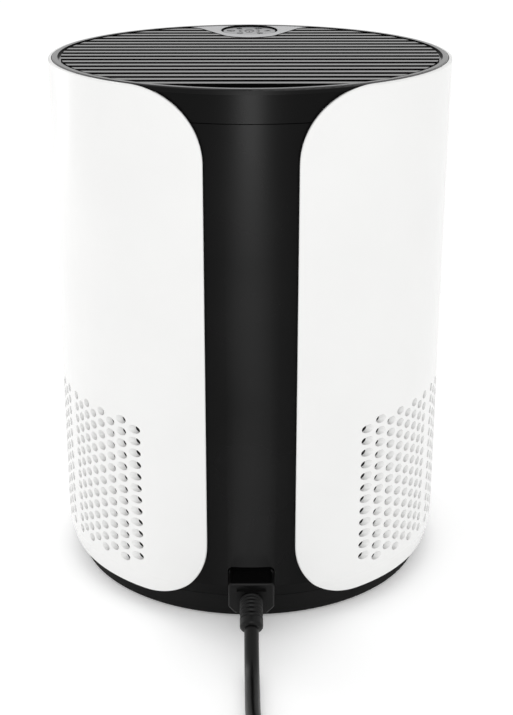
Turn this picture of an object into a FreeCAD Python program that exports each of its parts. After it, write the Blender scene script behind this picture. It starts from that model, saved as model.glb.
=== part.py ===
"""Free-standing round room air purifier, a parametric FreeCAD assembly in millimetres.

+Z is up and the origin is on the floor under the middle of the round body. The mains
inlet is on the -Y side and the control disc is towards +Y. Air goes in through the holes
low in the two side shells, inwards through a cartridge filter, up through a centrifugal
fan and out through the grille on top.
"""
import FreeCAD, Part
import math
import os
import Sketcher

Vector = FreeCAD.Vector
doc = FreeCAD.newDocument("air_purifier")

# --------------------------------------------------------------------------- sizes
SIZES = {
    # whole body
    "total_height": 294.4,
    "shell_radius": 110.0,
    "shell_wall": 2.5,
    "slip_gap": 0.2,          # between pieces that are fixed to each other
    "turn_gap": 0.4,          # between pieces that turn or slide past each other
    # taper under the straight part of the body
    "taper_top": 22.5,
    "taper_slope": 0.25,
    # side shells
    "shell_top_drop": 0.5,
    "shell_bottom": 11.3,
    "strip_half_width": 23.8,
    "top_corner_radius": 37.0,
    "bottom_corner_radius": 35.5,
    "shell_edge_round": 0.8,
    # intake holes
    "hole_radius": 2.35,
    "hole_pitch_share": 0.05131,      # of the shell radius, from column to column
    "hole_pitch_up": 6.95,
    "hole_field_bottom": 32.6,
    # black core
    "core_wall": 2.5,
    "seam_gap": 0.4,
    "base_seam": 15.8,
    "top_seam_drop": 17.0,
    "window_bottom": 27.0,
    "window_drop": 31.0,      # from the fan deck to the top of the windows
    "window_rib_half": 3.1,
    "floor_ring_width": 15.8,
    "floor_ring_thickness": 2.5,
    # base cover
    "base_lift": 1.0,
    "base_plate": 2.5,
    "base_edge_round": 2.0,
    "collar_wall": 2.5,
    "collar_gap": 0.7,
    "lug_reach": 3.7,
    "lug_height": 3.0,
    "grip_cup_radius": 36.0,
    "grip_cup_depth": 10.0,
    "grip_bar_width": 14.0,
    "foot_radius": 7.0,
    "foot_inset": 32.9,
    "foot_recess": 0.8,
    "post_radius": 3.0,
    # outlet
    "rim_overhang": 0.77,
    "rim_width": 3.2,
    "rim_height": 2.9,
    "rim_edge_round": 1.0,
    "bar_pitch": 10.5,
    "bar_width": 4.7,
    "bar_depth": 8.5,
    "bar_drop": 0.4,
    "first_bar_inset": 16.47,
    "cross_rib_width": 2.4,
    "cross_rib_spacing": 66.0,
    "cross_rib_height": 3.0,
    "ledge_thickness": 2.0,
    "ledge_width": 6.0,
    # controls
    "nose_radius": 17.8,
    "nose_inset": 30.67,
    "flank_length": 27.4,
    "flare_radius": 15.0,
    "bezel_thickness": 2.6,
    "bezel_drop": 0.2,
    "disc_inset": 20.87,
    "disc_radius": 15.7,
    "disc_gap": 1.3,
    "disc_drop": 0.2,
    "disc_thickness": 2.4,
    "button_travel": 1.0,
    "button_stem_radius": 3.0,
    "button_skirt_wall": 1.2,
    "button_skirt_height": 3.0,
    "tray_wall": 1.5,
    "tray_depth": 14.0,
    "board_thickness": 1.6,
    "switch_height": 3.6,
    # filter
    "filter_clearance": 1.5,
    "filter_lift": 0.8,       # above the base's collar
    "filter_cap": 5.6,
    "filter_depth": 31.5,     # from its outside to its bore
    "gasket_height": 4.5,
    "pleat_count": 48.0,
    # fan, measured from its deck
    "deck_drop": 144.4,
    "deck_thickness": 3.0,
    "bell_radius": 46.0,
    "bell_wall": 1.6,
    "bell_rise": 8.5,
    "impeller_inset": 22.8,
    "impeller_rise": 8.6,
    "impeller_height": 41.8,
    "blade_count": 11.0,
    "shaft_radius": 4.0,
    "shaft_clearance": 0.03,
    "bearing_radius": 11.0,
    "bearing_width": 7.0,
    "motor_radius": 38.0,
    "motor_rise": 58.0,
    "motor_height": 42.0,
    "motor_wall": 2.0,
    "rotor_radius": 18.5,
    "slot_half_width": 4.0,
    "nut_across_flats": 13.0,
    "nut_height": 6.0,
    "air_gap": 0.5,
    "cup_radius": 46.0,
    "diffuser_rise": 54.5,
    "diffuser_height": 47.5,
    "vane_count": 11.0,
    # screws
    "screw_radius": 1.5,
    "screw_length": 10.0,
    "screw_head_radius": 3.0,
    "screw_head_height": 2.2,
    "screw_boss_length": 14.0,
    # electronics
    "board_inset": 6.2,       # from the core's inside to the back of the power board
    "wire_inset": 7.0,
    "wire_slot_half": 12.0,
    "wire_slot_reach": 3.5,
    # mains inlet and lead
    "inlet_half_width": 12.7,
    "inlet_lift": 1.1,        # above the lower seam
    "inlet_height": 17.5,
    "inlet_corner": 2.8,
    "inlet_depth": 13.3,
    "socket_wall": 1.6,
    "pin_width": 2.0,
    "pin_height": 4.0,
    "pin_length": 10.0,
    "pin_spacing": 14.0,
    "connector_reach": 15.3,
    "connector_chamfer": 3.6,
    "connector_round": 1.2,
    "boss_width": 15.5,
    "boss_height": 12.4,
    "boss_depth": 2.0,
    "relief_radius": 6.1,
    "relief_end_radius": 5.2,
    "cord_radius": 3.875,
    "coil_radius": 43.0,
    "coil_turns_across": 3.0,
    "coil_layers": 2.0,
    "coil_lift": 1.0,
    "coil_round": 3.5,
    "tie_width": 12.0,
    # mains plug
    "plug_length": 34.0,
    "plug_width": 27.0,
    "plug_thickness": 21.0,
    "plug_relief": 28.0,
    "blade_length": 17.0,
    "blade_width": 6.35,
    "flat_blade_thickness": 1.5,
    "flat_blade_spacing": 12.7,
    "earth_pin_radius": 2.4,
    "earth_pin_offset": 11.9,
    "earth_pin_length": 20.0,
}


class Size(float):
    """A length that also carries the sheet formula it comes from."""

    def __new__(cls, value, text):
        size = super().__new__(cls, value)
        size.text = text
        return size

    def __add__(self, other):
        return Size(float(self) + float(other), f"({self.text} + {formula(other)})")

    def __radd__(self, other):
        return Size(float(other) + float(self), f"({formula(other)} + {self.text})")

    def __sub__(self, other):
        return Size(float(self) - float(other), f"({self.text} - {formula(other)})")

    def __rsub__(self, other):
        return Size(float(other) - float(self), f"({formula(other)} - {self.text})")

    def __mul__(self, other):
        return Size(float(self) * float(other), f"({self.text} * {formula(other)})")

    def __rmul__(self, other):
        return Size(float(other) * float(self), f"({formula(other)} * {self.text})")

    def __truediv__(self, other):
        return Size(float(self) / float(other), f"({self.text} / {formula(other)})")

    def __neg__(self):
        return Size(-float(self), f"(0 - {self.text})")


def formula(number):
    """The text of a size or of a plain number, for a property's formula."""
    return number.text if isinstance(number, Size) else f"{float(number):.6f}"


class Sheet:
    """The driving sizes, as attributes that read like lengths."""

    def __init__(self, values):
        cells = doc.addObject("Spreadsheet::Sheet", "Sizes")
        for row, (name, value) in enumerate(values.items(), start=1):
            cells.set(f"A{row}", name)
            cells.set(f"B{row}", str(value))
            cells.setAlias(f"B{row}", name)
            setattr(self, name, Size(value, f"Sizes.{name}"))
        doc.recompute()


dim = Sheet(SIZES)
pieces = []

# ------------------------------------------------------------------- shared levels
shell_inner = dim.shell_radius - dim.shell_wall
core_radius = shell_inner - dim.slip_gap
core_inner = core_radius - dim.core_wall
rim_radius = core_radius + dim.rim_overhang
base_radius = shell_inner - dim.turn_gap
shell_top = dim.total_height - dim.shell_top_drop
rim_bottom = dim.total_height - dim.rim_height
top_seam = dim.total_height - dim.top_seam_drop
base_top = dim.base_seam - dim.seam_gap
floor_ring_top = dim.base_seam + dim.floor_ring_thickness
grille_inner = rim_radius - dim.rim_width
cap_inner = core_radius - 3.3
cap_wall_inner = cap_inner - 1.4
tray_reach = cap_wall_inner - dim.slip_gap * 2
ledge_top = dim.total_height - dim.bar_drop - dim.bar_depth
floor_ring_inner = core_inner - dim.floor_ring_width
collar_outer = floor_ring_inner - dim.collar_gap
collar_inner = collar_outer - dim.collar_wall
lug_bottom = floor_ring_top + 0.5
collar_top = lug_bottom + dim.lug_height + 0.8
first_bar = grille_inner - dim.first_bar_inset
nose_centre = grille_inner - dim.nose_inset
disc_centre = grille_inner - dim.disc_inset
foot_circle = base_radius - dim.foot_inset
filter_radius = floor_ring_inner - dim.filter_clearance
filter_bore = filter_radius - dim.filter_depth
deck_height = dim.total_height - dim.deck_drop
deck_top = deck_height + dim.deck_thickness
filter_bottom = collar_top + dim.filter_lift
inlet_bottom = dim.base_seam + dim.inlet_lift
inlet_top = inlet_bottom + dim.inlet_height
inlet_middle = (inlet_bottom + inlet_top) / 2
window_top = deck_height - dim.window_drop
hole_pitch = dim.shell_radius * dim.hole_pitch_share
window_edge = hole_pitch * 16 - 0.3
impeller_radius = core_inner - dim.impeller_inset
impeller_bottom = deck_height + dim.impeller_rise
impeller_top = impeller_bottom + dim.impeller_height
motor_bottom = deck_height + dim.motor_rise
diffuser_bottom = deck_height + dim.diffuser_rise
bezel_top = dim.total_height - dim.bezel_drop
bezel_bottom = bezel_top - dim.bezel_thickness
disc_top = bezel_top - dim.disc_drop
tray_bottom = bezel_bottom - dim.tray_depth
board_bottom = tray_bottom + dim.tray_wall + 2.0
board_top = board_bottom + dim.board_thickness
diffuser_top = diffuser_bottom + dim.diffuser_height
motor_top = motor_bottom + dim.motor_height
hub_plate_bottom = impeller_top - 2.4
inlet_floor = core_radius - dim.inlet_depth
connector_back = core_radius + dim.connector_reach
MIDDLE = Size(0, "0")
FLANK_ANGLE = math.radians(27.0)
FLARE_TURN = math.radians(33.0)


# ----------------------------------------------------------------- drawing helpers
def bind(thing, name, size):
    """Ties one property, or one part of a placement, to the sheet."""
    thing.setExpression(name, formula(size))


def keep(thing, name=None):
    """Puts a finished piece on the list that is written out."""
    if name:
        thing.Label = name
    pieces.append(thing)
    return thing


def new_body(name):
    body = doc.addObject("PartDesign::Body", name)
    body.Label = name
    return body


def sketch_on(body, role, offset=None):
    """A sketch on one of the body's own origin planes, moved along its normal."""
    plane = next(item for item in body.Origin.OriginFeatures if item.Role == role)
    sketch = body.newObject("Sketcher::SketchObject", body.Label + "_sketch")
    sketch.AttachmentSupport = [(plane, "")]
    sketch.MapMode = "FlatFace"
    if offset is not None:
        bind(sketch, "AttachmentOffset.Base.z", offset)
    return sketch


def pin_point(sketch, geometry, end, x, y):
    """Fixes a point of the sketch at a distance from its origin."""
    for kind, value, axis in (("DistanceX", x, -2), ("DistanceY", y, -1)):
        if float(value) == 0.0:
            sketch.addConstraint(Sketcher.Constraint("PointOnObject", geometry, end, axis))
            continue
        row = sketch.addConstraint(
            Sketcher.Constraint(kind, -1, 1, geometry, end, float(value)))
        if isinstance(value, Size):
            bind(sketch, f"Constraints[{row}]", value)


def arc_between(start, end, radius):
    """The short arc from start to end; a positive radius curves to the left."""
    middle = (start + end) * 0.5
    chord = end - start
    reach = math.sqrt(radius * radius - chord.Length ** 2 / 4)
    left = Vector(-chord.y, chord.x, 0).normalize()
    centre = middle + left * math.copysign(reach, radius)
    crest = centre - left * radius
    return Part.Arc(start, crest, end)


def outline(sketch, points):
    """A closed outline. A point is (x, y), or (x, y, radius) if an arc leaves it."""
    corners = [Vector(float(point[0]), float(point[1]), 0) for point in points]
    first = sketch.GeometryCount
    last = len(points) - 1
    for index, point in enumerate(points):
        start, end = corners[index], corners[(index + 1) % len(points)]
        if len(point) == 3:
            sketch.addGeometry(arc_between(start, end, float(point[2])))
        else:
            sketch.addGeometry(Part.LineSegment(start, end))
    for index, point in enumerate(points):
        here = first + index
        after = first + (index + 1 if index < last else 0)
        here_end, after_start = 2, 1
        if len(point) == 3 and float(point[2]) < 0:
            here_end = 1
        following = points[(index + 1) % len(points)]
        if len(following) == 3 and float(following[2]) < 0:
            after_start = 2
        sketch.addConstraint(
            Sketcher.Constraint("Coincident", here, here_end, after, after_start))
        own_start = 2 if len(point) == 3 and float(point[2]) < 0 else 1
        pin_point(sketch, here, own_start, point[0], point[1])
        if len(point) == 3:
            row = sketch.addConstraint(
                Sketcher.Constraint("Radius", here, abs(float(point[2]))))
            size = point[2] if float(point[2]) > 0 else -point[2]
            if isinstance(size, Size):
                bind(sketch, f"Constraints[{row}]", size)


def circle(sketch, x, y, radius):
    row = sketch.addGeometry(Part.Circle(Vector(float(x), float(y), 0), Vector(0, 0, 1),
                                         float(radius)))
    pin_point(sketch, row, 3, x, y)
    mark = sketch.addConstraint(Sketcher.Constraint("Radius", row, float(radius)))
    bind(sketch, f"Constraints[{mark}]", radius)


def rectangle(sketch, left, right, low, high):
    outline(sketch, [(left, low), (right, low), (right, high), (left, high)])


def revolve(body, points, kind="PartDesign::Revolution"):
    """Turns an (r, z) outline about Z, adding to the body or cutting into it."""
    sketch = sketch_on(body, "XZ_Plane")
    outline(sketch, points)
    turn = body.newObject(kind, body.Label + "_turn")
    turn.Profile = sketch
    turn.ReferenceAxis = (sketch, ["V_Axis"])
    turn.Angle = 360.0
    return turn


def pad(body, sketch, length, both_ways=False):
    feature = body.newObject("PartDesign::Pad", body.Label + "_pad")
    feature.Profile = sketch
    bind(feature, "Length", length)
    if both_ways:
        feature.SideType = "Symmetric"
    return feature


def pocket(body, sketch, length, both_ways=False, upwards=False):
    """Cuts against the sketch's normal, or along it if upwards is set."""
    doc.recompute()
    before = body.Shape.Volume
    feature = body.newObject("PartDesign::Pocket", body.Label + "_pocket")
    feature.Profile = sketch
    bind(feature, "Length", length)
    feature.Reversed = upwards
    if both_ways:
        feature.SideType = "Symmetric"
    doc.recompute()
    if body.Shape.Volume > before - 1.0:
        raise RuntimeError(f"{feature.Name} cuts nothing")
    return feature


def repeat_round(body, feature, count, angle=360.0):
    """Repeats a feature about the body's Z axis."""
    doc.recompute()
    axis = next(item for item in body.Origin.OriginFeatures if item.Role == "Z_Axis")
    pattern = body.newObject("PartDesign::PolarPattern", body.Label + "_pattern")
    pattern.Originals = [feature]
    pattern.Axis = (axis, [""])
    pattern.Angle = angle
    pattern.Occurrences = int(count)
    if isinstance(count, Size):
        bind(pattern, "Occurrences", count)
    body.Tip = pattern
    return pattern


def edges_where(shape, test):
    """Names of the edges whose middle point and edge pass a test."""
    names = []
    for number, edge in enumerate(shape.Edges, start=1):
        middle = edge.valueAt((edge.FirstParameter + edge.LastParameter) / 2)
        if test(middle, edge):
            names.append(f"Edge{number}")
    return names


def dress(body, kind, size, test):
    """A Fillet or Chamfer on the edges of the body's tip that pass a test."""
    doc.recompute()
    base = body.Tip
    names = edges_where(base.Shape, test)
    if not names:
        raise RuntimeError(f"{body.Label} has no edge to dress")
    feature = body.newObject("PartDesign::" + kind, body.Label + "_" + kind.lower())
    feature.Base = (base, names)
    bind(feature, "Radius" if kind == "Fillet" else "Size", size)
    return feature


def near(value, target, slack=0.05):
    return abs(float(value) - float(target)) < slack


def block(name, low, span):
    """A box by its low corner and its size along X, Y and Z."""
    item = doc.addObject("Part::Box", name)
    for letter, corner in zip("xyz", low):
        bind(item, f"Placement.Base.{letter}", corner)
    for side, length in zip(("Length", "Width", "Height"), span):
        bind(item, side, length)
    return item


def rod(name, radius, length, foot, axis=Vector(0, 0, 1)):
    """A cylinder from its foot point along an axis."""
    item = doc.addObject("Part::Cylinder", name)
    item.Placement.Rotation = FreeCAD.Rotation(Vector(0, 0, 1), axis)
    bind(item, "Radius", radius)
    bind(item, "Height", length)
    for letter, place in zip("xyz", foot):
        bind(item, f"Placement.Base.{letter}", place)
    return item


def cut(name, base, tool):
    item = doc.addObject("Part::Cut", name)
    item.Base, item.Tool = base, tool
    return item


def overlap_of(name, base, tool):
    item = doc.addObject("Part::Common", name)
    item.Base, item.Tool = base, tool
    return item


def joined(name, items):
    item = doc.addObject("Part::MultiFuse", name)
    item.Shapes = items
    return item


def group_of(name, items):
    """Separate solids that share one node."""
    item = doc.addObject("Part::Compound", name)
    item.Links = items
    return item


def shaped(name, shape, placement=FreeCAD.Placement()):
    """A piece whose shape is made by Part's own functions, then put in its place."""
    item = doc.addObject("Part::Feature", name)
    item.Shape = shape
    item.Placement = placement
    return item


def around(radius, degrees):
    """A point at an angle from the +X axis, as two sizes."""
    angle = math.radians(degrees)
    return radius * math.cos(angle), radius * math.sin(angle)


def tapered(radius, height):
    """The radius that a wall of this straight radius has at a height in the taper."""
    return radius - (dim.taper_top - height) * dim.taper_slope


# ---------------------------------------------------------------------- side shells
def hole_cutter():
    """Straight rods along +X, one for each intake hole of one side."""
    rods = []
    columns = 16
    rib_column = 8
    rows = int((window_top - dim.hole_field_bottom - 5.0) / dim.hole_pitch_up) + 1
    start = dim.shell_radius * 0.2
    for column in range(-columns, columns + 1):
        if abs(column) == rib_column:
            continue
        short = column % 2 == 0
        lowest = dim.hole_field_bottom - (0 if short else dim.hole_pitch_up / 2)
        for row in range(rows if short else rows + 1):
            foot = Vector(start, column * hole_pitch,
                          lowest + row * dim.hole_pitch_up)
            rods.append(Part.makeCylinder(dim.hole_radius, dim.shell_radius, foot,
                                          Vector(1, 0, 0)))
    return shaped("intake_hole_rods", Part.makeCompound(rods))


def side_shells():
    """Bent shells with round corners, one on each side, the second mirrored."""
    ring = new_body("shell_ring")
    rebate = rim_radius + dim.slip_gap
    rebate_bottom = rim_bottom - dim.slip_gap
    revolve(ring, [
        (tapered(dim.shell_radius, dim.shell_bottom), dim.shell_bottom),
        (dim.shell_radius, dim.taper_top), (dim.shell_radius, shell_top),
        (rebate, shell_top), (rebate, rebate_bottom), (shell_inner, rebate_bottom),
        (shell_inner, dim.taper_top),
        (tapered(shell_inner, dim.shell_bottom), dim.shell_bottom)])
    side = new_body("shell_side")
    sketch = sketch_on(side, "XZ_Plane")
    rectangle(sketch, dim.strip_half_width, dim.shell_radius + 1.0, dim.shell_bottom,
              shell_top)
    pad(side, sketch, dim.shell_radius * 2 + 2.0, both_ways=True)
    for level, radius in ((shell_top, dim.top_corner_radius),
                          (dim.shell_bottom, dim.bottom_corner_radius)):
        dress(side, "Fillet", radius, lambda at, edge, level=level:
              near(at.x, dim.strip_half_width) and near(at.z, level) and near(at.y, 0))
    blank = overlap_of("shell_blank", ring, side)
    doc.recompute()
    softened = doc.addObject("Part::Fillet", "shell_softened")
    softened.Base = blank
    edges = [int(name[4:]) for name in edges_where(
        blank.Shape, lambda at, edge: math.hypot(at.x, at.y) > tapered(
            dim.shell_radius, at.z if at.z < dim.taper_top else dim.taper_top) - 0.05
        and not near(at.z, dim.taper_top, 0.01))]
    softened.Edges = [(number, float(dim.shell_edge_round), float(dim.shell_edge_round))
                      for number in edges]
    right = keep(cut("outer_shell_right", softened, hole_cutter()))
    left = doc.addObject("Part::Mirroring", "outer_shell_left")
    left.Source = right
    left.Normal = Vector(1, 0, 0)
    left.Base = Vector(0, 0, 0)
    keep(left)


# ------------------------------------------------------------------------ black core
BOSS_ANGLES = (50.0, 130.0, 230.0, 310.0)
LUG_ANGLES = (90.0, 210.0, 330.0)
LUG_HALF_ANGLE = 9.0
TWIST_RANGE = 20.0
boss_circle = core_inner - 3.3


def wedge(sketch, inner, outer, middle, half):
    """A four-sided patch between two radii and two angles."""
    outline(sketch, [around(inner, middle - half), around(outer, middle - half),
                     around(outer, middle + half), around(inner, middle + half)])


def inlet_outline(sketch):
    """The mains inlet's opening: a flat foot and two rounded upper corners."""
    half, corner = dim.inlet_half_width, dim.inlet_corner
    shoulder = inlet_top - corner
    outline(sketch, [(-half, inlet_bottom), (half, inlet_bottom),
                     (half, shoulder, corner), (half - corner, inlet_top),
                     (corner - half, inlet_top, corner), (-half, shoulder)])


def main_housing():
    """Core tube with a floor ring, intake windows, screw bosses and an inlet cut-out."""
    body = new_body("main_housing")
    revolve(body, [
        (tapered(core_radius, dim.base_seam), dim.base_seam),
        (core_radius, dim.taper_top), (core_radius, top_seam - dim.seam_gap),
        (core_inner, top_seam - dim.seam_gap), (core_inner, dim.taper_top),
        (tapered(core_inner, floor_ring_top), floor_ring_top),
        (floor_ring_inner, floor_ring_top), (floor_ring_inner, dim.base_seam)])
    bosses = sketch_on(body, "XY_Plane", deck_height - dim.screw_boss_length)
    for angle in BOSS_ANGLES:
        circle(bosses, *around(boss_circle, angle), dim.screw_head_radius + 1.0)
    pad(body, bosses, dim.screw_boss_length)
    windows = sketch_on(body, "YZ_Plane")
    rib = hole_pitch * 8
    rib_near, rib_far = rib - dim.window_rib_half, rib + dim.window_rib_half
    rectangle(windows, -rib_near, rib_near, dim.window_bottom, window_top)
    for side in (-1.0, 1.0):
        low, high = sorted((rib_far * side, window_edge * side), key=float)
        rectangle(windows, low, high, dim.window_bottom, window_top)
    pocket(body, windows, dim.shell_radius * 2 + 2.0, both_ways=True)
    screw_holes = sketch_on(body, "XY_Plane", deck_height)
    for angle in BOSS_ANGLES:
        circle(screw_holes, *around(boss_circle, angle), dim.screw_radius)
    pocket(body, screw_holes, dim.screw_length - dim.deck_thickness + 0.5)
    notches = sketch_on(body, "XY_Plane", floor_ring_top)
    for angle in LUG_ANGLES:
        wedge(notches, floor_ring_inner - 4.0,
              collar_outer + dim.lug_reach + dim.turn_gap * 2, angle + TWIST_RANGE,
              LUG_HALF_ANGLE + 1.5)
    pocket(body, notches, dim.floor_ring_thickness + 0.1)
    inlet = sketch_on(body, "XZ_Plane", core_radius - dim.core_wall * 3)
    inlet_outline(inlet)
    pocket(body, inlet, dim.core_wall * 4, upwards=True)
    return body


def inlet_socket(housing_bore):
    """Recessed tray of the mains inlet, fitted behind the core's wall."""
    wall = dim.socket_wall
    half = dim.inlet_half_width + wall
    back = inlet_floor - wall
    outside = block("socket_outside", (-half, -core_radius, dim.base_seam),
                    (half * 2, core_radius - back, inlet_top + wall - dim.base_seam))
    recess = new_body("socket_recess")
    opening = sketch_on(recess, "XZ_Plane", inlet_floor)
    inlet_outline(opening)
    pad(recess, opening, dim.inlet_depth + 1.0)
    inside_core = overlap_of("socket_inside_core", outside, housing_bore)
    keep(cut("inlet_socket", inside_core, recess))
    return outside


def core_and_inlet():
    """The core and the socket that is let into its floor ring."""
    bore = new_body("core_bore")
    revolve(bore, [(0, dim.base_seam), (tapered(core_inner, dim.base_seam), dim.base_seam),
                   (core_inner, dim.taper_top), (core_inner, window_top),
                   (0, window_top)])
    housing = main_housing()
    socket_blank = inlet_socket(bore)
    socket_seat = overlap_of("socket_seat", socket_blank, bore)
    housing.Label = "core_blank"
    keep(cut("main_housing_seated", housing, socket_seat), "main_housing")


def inlet_pins():
    """Three flat contact pins, the earth pin below the other two."""
    pins = []
    for name, x, z in (("line", -dim.pin_spacing / 2, inlet_middle + 2.0),
                       ("neutral", dim.pin_spacing / 2, inlet_middle + 2.0),
                       ("earth", MIDDLE, inlet_middle - 2.0)):
        pins.append(block("pin_" + name,
                          (x - dim.pin_width / 2, -inlet_floor - dim.pin_length,
                           z - dim.pin_height / 2),
                          (dim.pin_width, dim.pin_length, dim.pin_height)))
    keep(group_of("inlet_pins", pins))


def top_cap():
    """Black band above the upper seam, with a spigot into the core and a ledge."""
    body = new_body("cap_blank")
    spigot = core_inner - dim.slip_gap
    ledge_inner = cap_inner - dim.ledge_width
    ledge_bottom = ledge_top - dim.ledge_thickness
    revolve(body, [
        (core_radius, top_seam), (core_radius, rim_bottom), (cap_inner, rim_bottom),
        (cap_inner, ledge_top), (ledge_inner, ledge_top), (ledge_inner, ledge_bottom),
        (cap_wall_inner, ledge_bottom), (cap_wall_inner, top_seam - 5.0),
        (spigot, top_seam - 5.0), (spigot, top_seam)])
    seat = bell("tray_seat", -dim.tray_wall, tray_bottom - 1.0, ledge_top + 1.0,
                cap_wall_inner)
    keep(cut("top_cap", body, seat))


# ---------------------------------------------------------------- grille and controls
def bell(name, grow, low, high, trim):
    """A plate of the bezel's bell outline, grown by a margin and trimmed to a circle."""
    across = (math.cos(FLANK_ANGLE), -math.sin(FLANK_ANGLE))
    along = (math.sin(FLANK_ANGLE), math.cos(FLANK_ANGLE))
    end_angle = FLANK_ANGLE + FLARE_TURN
    end_across = (math.cos(end_angle), -math.sin(end_angle))
    end_along = (math.sin(end_angle), math.cos(end_angle))
    nose = dim.nose_radius + grow
    flare = dim.flare_radius - grow
    start = (nose * across[0], nose_centre + nose * across[1])
    bend = (start[0] + dim.flank_length * along[0], start[1] + dim.flank_length * along[1])
    end = (bend[0] + flare * (across[0] - end_across[0]),
           bend[1] + flare * (across[1] - end_across[1]))
    out = (end[0] + 6.0 * end_along[0], end[1] + 6.0 * end_along[1])
    far = rim_radius + 4.0
    body = new_body(name + "_plate")
    sketch = sketch_on(body, "XY_Plane", low)
    outline(sketch, [
        (-start[0], start[1], nose), start, (bend[0], bend[1], -flare), end, out,
        (out[0], far), (-out[0], far), (-out[0], out[1]), (-end[0], end[1], -flare),
        (-bend[0], bend[1])])
    pad(body, sketch, high - low)
    disc = rod(name + "_trim", trim, high - low, (0, 0, low))
    return overlap_of(name, body, disc)


def outlet_grille():
    """Rim, louvre bars along X, two hidden cross ribs and a collar for the bezel."""
    wall_outer = cap_inner - dim.slip_gap
    wall_inner = cap_wall_inner - dim.slip_gap
    bar_top = dim.total_height - dim.bar_drop
    rim = new_body("grille_rim")
    revolve(rim, [
        (rim_radius, rim_bottom), (rim_radius, dim.total_height),
        (grille_inner, dim.total_height), (grille_inner, rim_bottom + 1.2),
        (wall_inner, rim_bottom + 1.2), (wall_inner, ledge_top), (wall_outer, ledge_top),
        (wall_outer, rim_bottom)])
    dress(rim, "Fillet", dim.rim_edge_round, lambda at, edge: near(
        math.hypot(at.x, at.y), rim_radius) and near(at.z, dim.total_height))
    bars = new_body("grille_bars")
    sketch = sketch_on(bars, "YZ_Plane")
    half = dim.bar_width / 2
    outline(sketch, [(-first_bar - half, bar_top), (-first_bar - half, bar_top - 1.5),
                     (-first_bar - half * 0.6, bar_top - dim.bar_depth),
                     (-first_bar + half * 0.6, bar_top - dim.bar_depth),
                     (-first_bar + half, bar_top - 1.5), (-first_bar + half, bar_top)])
    first = pad(bars, sketch, rim_radius * 2, both_ways=True)
    doc.recompute()
    along = next(item for item in bars.Origin.OriginFeatures if item.Role == "Y_Axis")
    ribs = sketch_on(bars, "XY_Plane", ledge_top)
    for side in (-1.0, 1.0):
        x = dim.cross_rib_spacing / 2 * side
        rectangle(ribs, x - dim.cross_rib_width / 2, x + dim.cross_rib_width / 2,
                  -rim_radius, rim_radius)
    pad(bars, ribs, dim.cross_rib_height)
    row = bars.newObject("PartDesign::LinearPattern", "bar_row")
    row.Originals = [first]
    row.Direction = (along, [""])
    bar_count = int(first_bar * 2 / dim.bar_pitch) + 2
    row.Occurrences = bar_count
    bind(row, "Length", dim.bar_pitch * (bar_count - 1))
    bars.Tip = row
    trim = rod("grille_trim", wall_inner + 0.6, dim.bar_depth + 1.0,
               (0, 0, ledge_top - 0.5))
    trimmed = overlap_of("bars_trimmed", bars, trim)
    seat = bell("bezel_seat", dim.slip_gap, bezel_bottom, dim.total_height + 1.0,
                rim_radius)
    through = bell("tray_way", -dim.tray_wall, ledge_top - 1.0, bezel_bottom + 0.1,
                   wall_inner)
    collar = bell("bezel_collar", 0.0, ledge_top, bezel_bottom, wall_inner + 0.6)
    solid = joined("grille_solid", [rim, trimmed, collar])
    clear_top = cut("grille_clear_top", solid, overlap_of(
        "seat_inside_rim", seat, rod("seat_trim", grille_inner, 20.0,
                                     (0, 0, bezel_bottom))))
    keep(cut("outlet_grille", clear_top, through))


def control_bezel():
    """Bell-shaped plate with a well for the control disc."""
    plate = bell("bezel_blank", 0.0, bezel_bottom, bezel_top,
                 grille_inner - dim.slip_gap)
    well = rod("bezel_well", dim.disc_radius + dim.disc_gap, dim.bezel_thickness + 2.0,
               (0, disc_centre, bezel_bottom - 1.0))
    keep(cut("control_bezel", plate, well))


def button_cap():
    """Round control disc with a skirt and a stem to the switch."""
    bottom = disc_top - dim.disc_thickness
    stem_end = board_top + dim.switch_height + dim.button_travel + 0.1
    disc = rod("disc_plate", dim.disc_radius, dim.disc_thickness,
               (0, disc_centre, bottom))
    stem = rod("disc_stem", dim.button_stem_radius, bottom + 0.5 - stem_end,
               (0, disc_centre, stem_end))
    skirt_bottom = bottom + 0.5 - dim.button_skirt_height
    skirt = rod("disc_skirt", dim.disc_radius - 1.0, dim.button_skirt_height,
                (0, disc_centre, skirt_bottom))
    hollow = rod("disc_hollow", dim.disc_radius - 1.0 - dim.button_skirt_wall,
                 bottom - skirt_bottom + 1.0, (0, disc_centre, skirt_bottom - 1.0))
    keep(joined("button_cap", [disc, stem, cut("disc_skirt_ring", skirt, hollow)]))


def control_tray():
    """Closed tray under the bezel that keeps the board out of the air."""
    outside = bell("tray_outside", -dim.tray_wall - dim.slip_gap, tray_bottom,
                   bezel_bottom, tray_reach)
    inside = bell("tray_inside", -dim.tray_wall * 2 - dim.slip_gap,
                  tray_bottom + dim.tray_wall, bezel_bottom + 1.0,
                  tray_reach - dim.tray_wall)
    keep(cut("control_tray", outside, inside))


def control_electronics():
    """Round board on the tray's floor pillar, with the push switch in its middle."""
    pillar = block("board_pillar", (-6.0, disc_centre - 6.0,
                                    tray_bottom + dim.tray_wall),
                   (12.0, 12.0, board_bottom - tray_bottom - dim.tray_wall))
    keep(pillar, "board_support")
    keep(rod("control_board", dim.disc_radius - 2.5, dim.board_thickness,
             (0, disc_centre, board_bottom)))
    case = block("switch_case", (-3.0, disc_centre - 3.0, board_top),
                 (6.0, 6.0, dim.switch_height - 0.6))
    plunger = rod("switch_plunger", 1.7, dim.switch_height, (0, disc_centre, board_top))
    keep(joined("tact_switch", [case, plunger]))


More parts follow.
